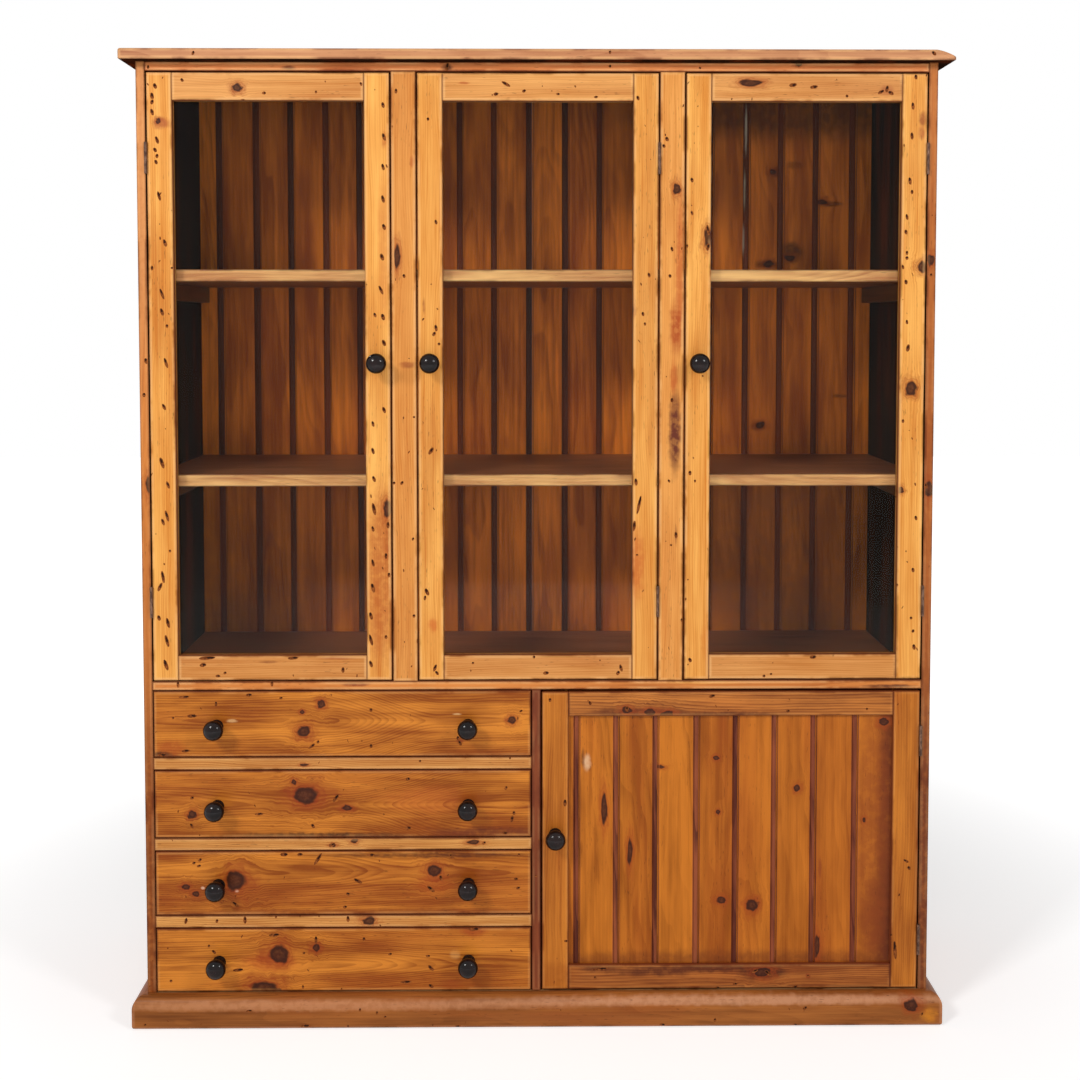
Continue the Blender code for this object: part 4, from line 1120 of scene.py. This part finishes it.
# What shows on each glazed door, part by part.
GLAZED = {
    "door_left": {
        "knots": ((158, 121, 9, 9), (388, 509, 16, 30), (237, 88, 16, 14)),
        "washes": (
            (161, 123, 34, 24, (166, 80, 42), 0.8), (384, 140, 12, 34, RED_STAIN, 0.5),
            (387, 540, 9, 160, (120, 60, 24), 0.5), (337, 658, 70, 8, (150, 64, 28), 0.6),
            (268, 662, 40, 6, (120, 60, 30), 0.6), (177, 424, 10, 20, (140, 76, 34), 0.6),
            (380, 580, 60, 420, (170, 76, 28), 0.7), (384, 250, 24, 300, (206, 124, 60), 0.5),
        ),
        "stile_left": (
            (155, 86, 12, -20), (152, 96, 14, -10), (152, 102, 10, 20), (152, 112, 14, -15),
            (157, 140, 16, -20), (155, 150, 10, -30), (157, 156, 9, 0), (156, 162, 10, -20),
            (159, 196, 20, -15), (165, 243, 16, -20), (152, 268, 10, 0), (162, 294, 24, -20),
            (162, 312, 16, -20), (167, 326, 8, 0), (166, 363, 22, -18), (164, 407, 14, -25),
            (162, 463, 24, -18), (168, 485, 16, -20), (167, 516, 24, -16), (163, 522, 15, -20),
            (170, 551, 6, 0), (163, 577, 26, -10), (160, 587, 20, 25), (159, 618, 12, -15),
            (168, 623, 22, -15), (167, 641, 26, -14), (166, 665, 24, -18), (181, 204, 6, 0),
            (172, 268, 5, 0),
        ),
        "stile_right": (
            (383, 105, 12, -15), (384, 137, 16, -20), (383, 167, 14, -15), (383, 199, 16, -15),
            (384, 227, 13, -20), (382, 257, 15, -20), (381, 290, 20, -25), (375, 315, 10, -20),
            (383, 317, 14, -18), (384, 343, 14, -22), (384, 410, 14, -20), (373, 424, 12, -15),
            (373, 451, 14, -15), (374, 479, 13, -20), (374, 509, 26, -12), (373, 529, 12, -15),
            (373, 563, 16, -14), (373, 588, 20, -14), (371, 616, 16, -15), (371, 640, 24, -14),
            (386, 637, 8, 0), (371, 664, 15, -18), (388, 525, 14, 0), (386, 556, 12, 0),
            (389, 575, 10, 0),
        ),
        "rail_top": (
            (242, 101, 14, 75), (182, 80, 8, -30), (264, 93, 8, 90), (316, 92, 6, 0), (361, 84, 8, -20),
        ),
        "rail_bottom": (
            (207, 658, 34, 86), (203, 665, 14, 80), (293, 658, 22, 86), (343, 670, 12, 0),
            (218, 676, 10, 90), (225, 673, 7, 60),
        ),
    },
    "door_middle": {
        "knots": ((632, 310, 8, 14),),
        "washes": (
            (464, 83, 24, 6, RED_STAIN, 0.6), (424, 306, 6, 34, (150, 76, 34), 0.6),
            (433, 625, 18, 30, (196, 84, 30), 0.55), (636, 566, 34, 160, (190, 88, 32), 0.65),
        ),
        "stile_left": (
            (428, 119, 7, 0), (436, 222, 10, -15), (436, 328, 14, -10), (434, 334, 10, 30),
            (439, 344, 6, 0), (431, 451, 17, 32), (427, 592, 16, -25), (425, 598, 10, 10),
            (435, 668, 16, 20), (437, 673, 10, -40),
        ),
        "stile_right": (
            (638, 98, 10, -20), (649, 275, 10, -15), (643, 314, 9, -15), (645, 324, 7, 0),
            (636, 482, 15, -5), (639, 505, 40, 12), (634, 526, 22, 8), (627, 531, 9, 0), (627, 436, 8, 0),
            (637, 555, 4, 0),
        ),
        "rail_top": (
            (506, 84, 20, -60), (496, 94, 10, 80), (524, 91, 8, 60), (558, 94, 7, 90), (596, 97, 8, 80),
        ),
        "rail_bottom": (
            (473, 663, 5, 0), (534, 657, 6, 90), (621, 668, 16, -15), (618, 673, 10, 30),
            (546, 673, 12, 84),
        ),
    },
    "door_right": {
        "knots": (
            (708, 238, 13, 34), (751, 83, 34, 12), (922, 267, 16, 18), (911, 388, 20, 24),
            (901, 490, 9, 12),
        ),
        "washes": (
            (923, 119, 16, 30, (150, 76, 36), 0.85), (922, 133, 14, 26, (176, 96, 48), 0.8),
            (706, 640, 20, 90, (206, 120, 44), 0.5), (904, 240, 10, 90, (206, 120, 50), 0.4),
            (887, 90, 30, 22, (168, 92, 52), 0.7),
        ),
        "stile_left": (
            (692, 180, 10, -15), (692, 213, 10, -15), (708, 230, 22, -10), (708, 247, 16, 10),
            (687, 246, 8, 0), (685, 308, 8, 0), (690, 473, 10, 0), (695, 481, 6, 0), (690, 660, 10, -20),
            (684, 619, 7, 0),
        ),
        "stile_right": (
            (916, 77, 10, 0), (913, 106, 15, -5), (912, 136, 15, -5), (910, 181, 15, -8),
            (912, 192, 9, 0), (907, 217, 12, -10), (906, 232, 10, -10), (907, 253, 9, 0),
            (907, 258, 8, 0), (903, 267, 9, -15), (906, 282, 10, -10), (907, 322, 9, -10),
            (908, 348, 16, 10), (903, 421, 8, 0), (916, 518, 10, -15), (897, 547, 9, 0),
            (914, 647, 12, -10), (913, 631, 7, 20), (911, 618, 6, 0), (895, 619, 7, 0), (895, 647, 7, 0),
            (913, 570, 10, -10), (897, 585, 6, 0),
        ),
        "rail_top": (
            (793, 85, 16, 80), (814, 87, 16, 80), (887, 89, 14, 10), (881, 92, 14, 60),
            (891, 93, 12, -60), (847, 96, 6, 90),
        ),
        "rail_bottom": ((813, 657, 14, 86), (764, 676, 6, 60), (708, 676, 7, 0), (771, 674, 5, 90)),
    },
}

glass, net, out = new_finish("window_pane", "window_glass")
skin = net.math("MULTIPLY", net.add("ShaderNodeFresnel", 1.45).outputs[0], 0.13)
ripple = net.noise(net.place(), (5.0, 5.0, 3.0), 1.0)
bump = net.add("ShaderNodeBump", 0.05, 0.002)
net.feed(bump.inputs["Height"], ripple)
clear = net.add("ShaderNodeBsdfTransparent", (0.955, 0.975, 0.965, 1.0))
mirror = net.add("ShaderNodeBsdfGlossy", (1, 1, 1, 1), 0.02)
net.feed(mirror.inputs["Normal"], bump.outputs[0])
net.feed(out.inputs[0], net.add("ShaderNodeMixShader", skin, clear.outputs[0], mirror.outputs[0]).outputs[0])

for name, seen in GLAZED.items():
    upright = pine(
        name + "_stiles", (246, 180, 92), (208, 126, 46), "z", knots=seen["knots"],
        washes=seen["washes"], ring=0.0045, seam_shade=0.45,
    )
    level = pine(
        name + "_rails", (233, 168, 97), (192, 120, 54), "x", knots=seen["knots"],
        washes=seen["washes"], ring=0.0045, seam_shade=0.45,
    )
    framed_door(name, STILE_WIDTH, RAIL_WIDTHS, name + "_glass", upright, level, seen, scatter=160)
    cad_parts[name + "_glass"].data.materials.clear()
    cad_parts[name + "_glass"].data.materials.append(glass)


# The lower door
# Framed like the others but stained darker, with a panel of beaded boards let into its grooves.
# The boards' beads and joints are red-brown, and the last board is darker along a waney edge.
LOWER_STILE_WIDTH = 0.055
LOWER_RAIL_WIDTHS = (0.051, 0.051)
LOWER_MARKS = {
    "stile_left": ((565, 803, 15, 0), (550, 700, 8, 0), (566, 941, 8, 90)),
    "stile_right": (
        (906, 861, 12, -60), (909, 868, 9, -30), (890, 941, 10, 0), (895, 950, 40, -4),
        (890, 936, 12, 40),
    ),
    "rail_top": (
        (712, 696, 14, 75), (627, 709, 12, 0), (590, 703, 9, -20), (788, 711, 8, 90), (867, 709, 5, 0),
    ),
    "rail_bottom": (
        (595, 978, 7, 0), (680, 989, 10, 90), (717, 988, 12, 90), (735, 984, 10, 80), (795, 987, 14, 70),
        (600, 969, 34, 84), (755, 971, 14, 60), (768, 973, 16, -50), (808, 976, 5, 0),
    ),
}
LOWER_WASHES = (
    (640, 713, 220, 26, (84, 36, 18), 0.9), (725, 715, 260, 16, (84, 36, 18), 0.9),
    (700, 690, 300, 12, (196, 124, 76), 0.5), (655, 971, 200, 22, (84, 36, 18), 0.85),
    (712, 968, 200, 20, (84, 36, 18), 0.85), (763, 972, 100, 36, (50, 22, 12), 0.95),
    (600, 969, 90, 16, (84, 36, 18), 0.85), (808, 976, 10, 12, (130, 44, 20), 0.8),
    (556, 975, 90, 60, (150, 76, 20), 0.5),
)
# Pale colour along the arrises: partly rubbed wear, partly a painted highlight.
DULL_RUB_AND_SHEEN = (232, 166, 96)
lower_upright = pine(
    "door_lower_stiles", (202, 122, 42), (146, 76, 20), "z", "amber_pine", washes=LOWER_WASHES,
    worn=0.2, cloudy=1.9, rub=DULL_RUB_AND_SHEEN,
)
lower_level = pine(
    "door_lower_rails", (200, 122, 54), (118, 60, 24), "x", "amber_pine", washes=LOWER_WASHES,
    worn=0.2, cloudy=2.2, rub=DULL_RUB_AND_SHEEN,
    knots=((627, 710, 18, 12), (650, 712, 22, 12), (667, 714, 22, 12), (763, 972, 30, 18)), figure=0.6,
)
framed_door(
    "door_lower", LOWER_STILE_WIDTH, LOWER_RAIL_WIDTHS, "door_lower_panel", lower_upright, lower_level,
    LOWER_MARKS, scatter=60,
)
PANEL_BEAD = 0.0085
PANEL_JOINT_LEVEL = 840
PANEL_JOINTS = (578.5, 617.9, 657.2, 698, 737, 775.6, 814.4, 856)
low, high = corners("door_lower_panel")
panel_pine = pine(
    "panel_pine", (200, 116, 34), (144, 76, 14), "z", "amber_pine", plane=low.y, edges=False, cloudy=1.9,
    knots=(
        (630, 852, 9, 46), (604, 809, 11, 52), (884, 722, 18, 14), (716, 758, 10, 9), (718, 812, 8, 8),
        (797, 788, 12, 13), (721, 900, 16, 14), (752, 905, 20, 24), (813, 877, 6, 12), (817, 946, 9, 40),
        (660, 767, 16, 6), (864, 820, 6, 10),
    ),
    washes=(
        (887, 850, 44, 900, (72, 22, 10), 0.95), (884, 915, 70, 240, (70, 24, 12), 0.9),
        (873, 920, 56, 150, (116, 50, 18), 0.7), (872, 840, 90, 700, (140, 66, 24), 0.7),
        (820, 868, 8, 44, (130, 54, 24), 0.6), (735, 962, 1300, 50, (104, 46, 18), 0.6),
        (587, 762, 16, 34, (222, 180, 140), 0.8), (583, 758, 8, 40, (80, 40, 20), 0.7),
    ),
)
panel_bead = pine(
    "panel_bead", (146, 76, 46), (78, 32, 18), "z", "amber_pine", edges=False, figure=0.6,
    cloudy=3.0, ruddy=(96, 34, 24),
)
panel = board_row(
    "lower_panel", "door_lower", low, high, PANEL_JOINT_LEVEL, PANEL_JOINTS, panel_pine, panel_bead,
    PANEL_BEAD, seed=9,
)
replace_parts(panel, "door_lower_panel")


# The drawer fronts
# Solid flat-sawn boards 20 mm thick with dovetail sockets at both ends, and large knots. Their arrises
# are pale, partly rubbed wear and partly a painted highlight. Dark bands along their lower edges are
# partly old wax and partly painted shadow from the gaps, and the dark band along the top of the third
# drawer is painted shadow.

# What shows on each front, how far off the log's heart it was sawn, how dark it is, and where its
# growth rings run to points.
DRAWERS = {
    1: {
        "knots": ((304, 732, 24, 19), (321.5, 704, 14, 14), (512, 720, 14, 14), (302, 712, 8, 7)),
        "washes": (
            (170, 748, 70, 36, (150, 58, 20), 0.6), (162, 755, 44, 16, (56, 22, 14), 0.9),
            (232, 721, 22, 8, (240, 190, 130), 0.6), (457, 714, 18, 4, (240, 190, 130), 0.6),
            (460, 740, 16, 16, (130, 50, 24), 0.7),
        ),
        "marks": (
            (184, 697, 22, 86), (249, 695, 12, 88), (216, 704, 10, 0), (192, 716, 20, 88),
            (173, 718, 5, 60), (312, 746, 15, 50), (318, 742, 7, 20), (162, 755, 20, 90),
            (186, 751, 18, 86), (371, 710, 8, 0), (371, 746, 8, 0), (521, 711, 7, 60),
            (460, 743, 12, -30), (458, 738, 8, 0), (281, 698, 7, 80),
        ),
        "pith": (-0.008, 0.030),
        "tone": 0.0,
        "slopes": ((325, 440, 0.050),),
    },
    2: {
        "knots": ((305.5, 795, 44, 30), (192, 814.5, 14, 14), (294, 782, 9, 9), (347, 808, 18, 9)),
        "washes": (
            # The two dark bands along the lower edge are partly old wax and partly painted shadow from the
            # gap below.
            (312, 836, 400, 16, (50, 20, 12), 0.9), (490, 832, 260, 22, (100, 40, 24), 0.8),
            (430, 800, 200, 60, (180, 86, 36), 0.4),
        ),
        "marks": (
            (192, 798, 8, 60), (192, 826, 12, -30), (259, 814, 18, 86), (336, 798, 20, 35),
            (313, 826, 10, -40), (408, 779, 10, 90), (408, 828, 12, 90), (506, 788, 8, 30),
            (512, 819, 14, 10), (514, 813, 8, 0), (505, 833, 12, 90),
        ),
        "pith": (0.0, 0.030),
        "tone": 0.25,
        "slopes": ((345, 475, -0.055),),
    },
    3: {
        "knots": ((236, 880, 36, 34), (434, 871, 24, 22), (186, 887, 14, 10), (196, 894, 14, 10)),
        "washes": (
            (434, 884, 80, 40, (168, 72, 24), 0.4), (344, 912, 1000, 14, (120, 54, 22), 0.6),
            # The band at 430, 855 along the top edge is painted shadow from the gap above.
            (430, 855, 500, 12, (70, 30, 16), 0.7), (237, 891, 8, 6, (236, 190, 160), 0.8),
            (203, 888, 8, 6, (236, 190, 160), 0.7),
        ),
        "marks": (
            (284, 854.5, 16, 88), (300, 854.5, 11, 88), (318, 859, 30, 32), (200, 860, 9, 50),
            (199, 866, 9, 70), (194, 863, 8, 70), (235, 904, 20, -50), (348, 894, 8, 90),
            (345, 907, 9, 80), (371, 855, 16, 88), (451, 856, 8, -20), (358, 881, 20, -62),
            (348, 894, 8, -40), (431, 889, 20, -50), (519, 855, 8, 0), (516, 879, 9, 90),
            (518, 888, 9, 80), (441, 878, 12, -20),
        ),
        "pith": (-0.02, 0.040),
        "tone": -0.20,
        "slopes": ((300, 420, 0.012),),
    },
    4: {
        "knots": ((278.7, 954, 34, 32), (264, 988, 46, 26), (316, 948, 14, 14), (277, 991, 16, 10)),
        "washes": (
            (270, 962, 110, 40, (168, 66, 26), 0.55), (474, 931, 60, 24, (150, 54, 22), 0.6),
            (474, 929, 24, 8, (50, 22, 12), 0.8), (455, 955, 20, 20, (230, 170, 100), 0.4),
            (450, 985, 50, 30, (160, 70, 26), 0.4),
        ),
        "marks": (
            (274, 935, 22, 84), (316, 940, 16, 0), (304, 953, 6, 90), (303, 987, 8, 0),
            (214, 952, 11, -50), (209, 946, 6, 0), (238, 970, 22, 84), (171, 981, 6, 0),
            (335, 992, 7, 90), (364, 939, 8, 0), (390, 954, 8, 80), (428, 956, 9, 90),
            (431, 968, 16, -45), (406, 982, 24, 88), (431, 986, 12, -60), (474, 929, 20, 88),
        ),
        "pith": (0.015, 0.034),
        "tone": -0.25,
        "slopes": ((330, 460, 0.020),),
    },
}
for number, seen in DRAWERS.items():
    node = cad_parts[f"drawer_{number}_front"]
    low, high = corners(f"drawer_{number}_front")
    drawer_pine = pine(
        f"drawer_{number}_pine", (212, 130, 46), (138, 68, 16), "x", "amber_pine",
        knots=seen["knots"], washes=seen["washes"], slopes=seen["slopes"], ring=0.0045, figure=0.5, worn=0.3,
        cloudy=2.6, ruddy=(140, 52, 20), rub=DULL_RUB_AND_SHEEN,
    )
    shape = bmesh.new()
    shape.from_mesh(node.data)
    bmesh.ops.remove_doubles(shape, verts=shape.verts, dist=1e-6)
    front = new_piece(f"drawer_{number}_face", as_mesh(shape, "drawer_front"), drawer_pine)
    strike(front, low.y, seen["marks"], scatter=70, seed=20 + number)
    grained(front, low, high, "x", seen["pith"], (seen["tone"], 0.0, 0.0))
    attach(front, f"drawer_{number}")
    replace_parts(front, f"drawer_{number}_front")


# The drawer boxes
# Raw, unwaxed pine gone grey-brown: two sides dovetailed into the front, a back, and a thin bottom
# in grooves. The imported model's own meshes stay, and only get this finish.
box_pine = pine(
    "box_pine", (214, 178, 128), (172, 128, 80), "y", "drawer_pine", rough=0.65, edges=False,
    flecks=0.2, painted_gap_shade=0,
)
for number in DRAWERS:
    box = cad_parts[f"drawer_{number}_box"]
    box.data.materials.clear()
    box.data.materials.append(box_pine)


# The hinges
# Steel butt hinges 63.5 mm long, let in so that only the five knuckles stand proud of the gap.
# They have tarnished to a dull grey-brown, with small dark spots.
KNUCKLE_RADIUS = 0.003
KNUCKLE_COUNT = 5
KNUCKLE_GAP = 0.0004
PIN_RADIUS = 0.0012
LEAF_GAP = 0.0004
LEAF_THICK = 0.0010
ARM_OVERLAP = 0.0002
HINGE_LENGTH = 0.0635


def block_mesh(boxes):
    """Plain blocks, each from its lowest to its highest corner, as one mesh."""
    shape = bmesh.new()
    for low, high in boxes:
        middle = [(a + b) / 2 for a, b in zip(low, high)]
        size = [b - a for a, b in zip(low, high)]
        bmesh.ops.create_cube(shape, size=1.0, matrix=Matrix.LocRotScale(Vector(middle), None, Vector(size)))
    return as_mesh(shape, "blocks")


def knuckle_recipe():
    """Adds a bar of the given radius and height at each of a few levels over the first."""
    recipe, net, given = new_recipe(
        "knuckles", ("Centre", "Vector"), ("Step", "Float"), ("Count", "Int"), ("Radius", "Float"),
        ("Height", "Float"), ("Finish", "Material"),
    )
    step = net.add("ShaderNodeCombineXYZ", 0.0, 0.0, given["Step"]).outputs[0]
    line = net.add("GeometryNodeMeshLine")
    net.feed(line.inputs["Count"], given["Count"])
    net.feed(line.inputs["Start Location"], given["Centre"])
    net.feed(line.inputs["Offset"], step)
    bar = net.add("GeometryNodeMeshCylinder", 24, 1, 1, given["Radius"], given["Height"]).outputs["Mesh"]
    bars = net.add("GeometryNodeInstanceOnPoints", line.outputs[0], None, bar)
    joined = net.add("GeometryNodeJoinGeometry", given["Geometry"])
    net.feed(joined.inputs[0], bars.outputs[0])
    real = net.add("GeometryNodeRealizeInstances", joined.outputs[0])
    painted = net.add("GeometryNodeSetMaterial", real.outputs[0], None, given["Finish"])
    net.add("NodeGroupOutput", painted.outputs[0])
    return recipe


KNUCKLES = knuckle_recipe()

old_steel, net, out = new_finish("old_steel", "tarnished_steel")
place = net.place()
film = net.noise(place, (180, 180, 90), 4.0, 0.6)
colour = net.blend(net.rise(film, 0.35, 0.65), shade(126, 94, 74), shade(72, 46, 34))
colour = net.blend(net.rise(net.noise(place, (600, 600, 600), 2.0), 0.6, 0.72), colour, shade(48, 30, 22))
surface(net, out, colour, net.rise(film, 0.3, 0.7, 0.35, 0.65), metallic=0.55)

DOORS = (*GLAZED, "door_lower")
HINGE_HALVES = {"frame": ("carcase", -1, (0, 2, 4)), "door": (None, 1, (1, 3))}
for door in DOORS:
    hand = 1 if door == "door_left" else -1
    for place in ("bottom", "top"):
        for half, (body, towards, own) in HINGE_HALVES.items():
            node = f"{door}_hinge_{place}_{half}_leaf"
            low, high = corners(node)
            pin = Vector(((low.x + high.x) / 2, low.y + KNUCKLE_RADIUS, (low.z + high.z) / 2))
            pitch = HINGE_LENGTH / KNUCKLE_COUNT
            x = sorted(pin.x + hand * towards * reach for reach in (LEAF_GAP / 2, LEAF_GAP / 2 + LEAF_THICK))
            plates = [((x[0], pin.y + KNUCKLE_RADIUS, low.z), (x[1], high.y, high.z))]
            for number in own:
                middle = pin.z + (number - (KNUCKLE_COUNT - 1) / 2) * pitch
                reach = (pitch - KNUCKLE_GAP) / 2
                arm_end = pin.y + KNUCKLE_RADIUS + ARM_OVERLAP
                plates.append(((x[0], pin.y, middle - reach), (x[1], arm_end, middle + reach)))
            leaf = new_piece(node + "_steel", block_mesh(plates), old_steel)
            start = Vector((pin.x, pin.y, pin.z + (own[0] - (KNUCKLE_COUNT - 1) / 2) * pitch))
            step = pitch * 2
            worked(
                leaf, KNUCKLES, Centre=start, Step=step, Count=len(own), Radius=KNUCKLE_RADIUS,
                Height=pitch - KNUCKLE_GAP, Finish=old_steel,
            )
            if half == "frame":
                worked(
                    leaf, KNUCKLES, Centre=pin, Step=step, Count=1, Radius=PIN_RADIUS,
                    Height=HINGE_LENGTH - 2 * KNUCKLE_GAP, Finish=old_steel,
                )
            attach(leaf, body or door)
            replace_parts(leaf, node)


# The knobs
# Turned wood, ebonised and polished: a flared foot, a hollow neck and a domed head 41 mm across.
# Each has a spigot that is let into its door or drawer.
KNOB_SIDES = 48


def knob_recipe():
    """Stands one turned knob at each given point."""
    recipe, net, given = new_recipe("knobs", ("Places", "Object"))
    places = net.add("GeometryNodeObjectInfo", given["Places"]).outputs["Geometry"]
    knobs = net.add("GeometryNodeInstanceOnPoints", places, None, given["Geometry"])
    real = net.add("GeometryNodeRealizeInstances", knobs.outputs[0])
    net.add("NodeGroupOutput", net.add("GeometryNodeSetMaterial", real.outputs[0], None, ebony).outputs[0])
    return recipe


def turned_knob():
    """The knob at the origin, pointing to the front, spun from half its outline."""
    base, neck, head, reach = 0.0135, 0.0095, 0.0205, 0.050
    neck_at, head_at, under = 0.012, 0.034, 0.010
    spigot, chamfer, let_in = 0.005, 0.0007, 0.011
    steps, dome_steps = 8, 14
    profile = [(0.0, -let_in), (spigot - chamfer, -let_in), (spigot, chamfer - let_in), (spigot, CLEARANCE)]
    for step in range(steps + 1):
        share = step / steps
        radius = neck + (base - neck) * (1 - math.sin(math.pi / 2 * share))
        profile.append((radius, CLEARANCE + (neck_at - CLEARANCE) * share))
    profile.append((neck, (neck_at + head_at - under) / 2))
    for step in range(steps + 1):
        turn = math.pi / 2 * step / steps
        profile.append((neck + (head - neck) * math.sin(turn), head_at - under * math.cos(turn)))
    for step in range(1, dome_steps + 1):
        turn = math.pi / 2 * step / dome_steps
        profile.append((max(0.0, head * math.cos(turn)), head_at + (reach - head_at) * math.sin(turn)))
    shape = bmesh.new()
    verts = [shape.verts.new((radius, -distance, 0)) for radius, distance in profile]
    edges = [shape.edges.new(pair) for pair in zip(verts, verts[1:])]
    bmesh.ops.spin(
        shape, geom=verts + edges, cent=(0, 0, 0), axis=(0, 1, 0), angle=2 * math.pi, steps=KNOB_SIDES,
        use_merge=True,
    )
    bmesh.ops.remove_doubles(shape, verts=shape.verts, dist=1e-6)
    bmesh.ops.recalc_face_normals(shape, faces=shape.faces)
    mesh = as_mesh(shape, "knob")
    mesh.shade_smooth()
    mesh.set_sharp_from_angle(angle=math.radians(40))
    return mesh


ebony, net, out = new_finish("ebony", "ebonised_wood")
place = net.place()
worn = net.noise(place, (40, 40, 40), 3.0)
colour = net.blend(net.rise(worn, 0.40, 0.66), shade(12, 5, 5), shade(30, 15, 14))
polish = net.rise(net.noise(place, (90, 90, 90), 3.0), 0.3, 0.7, 0.11, 0.18)
surface(net, out, colour, polish, 0.22)

KNOBS = knob_recipe()
knob_nodes = {name: [f"{name}_knob"] for name in DOORS}
for number in DRAWERS:
    knob_nodes[f"drawer_{number}"] = [f"drawer_{number}_knob_left", f"drawer_{number}_knob_right"]
for body, nodes in knob_nodes.items():
    places = []
    for node in nodes:
        low, high = corners(node)
        places.append(((low.x + high.x) / 2, FRONT, (low.z + high.z) / 2))
    holder = point_cloud(places)
    knobs = worked(new_piece(body + "_knobs", turned_knob(), ebony), KNOBS, Places=holder)
    bpy.data.objects.remove(holder)
    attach(knobs, body)
    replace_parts(knobs, *nodes)
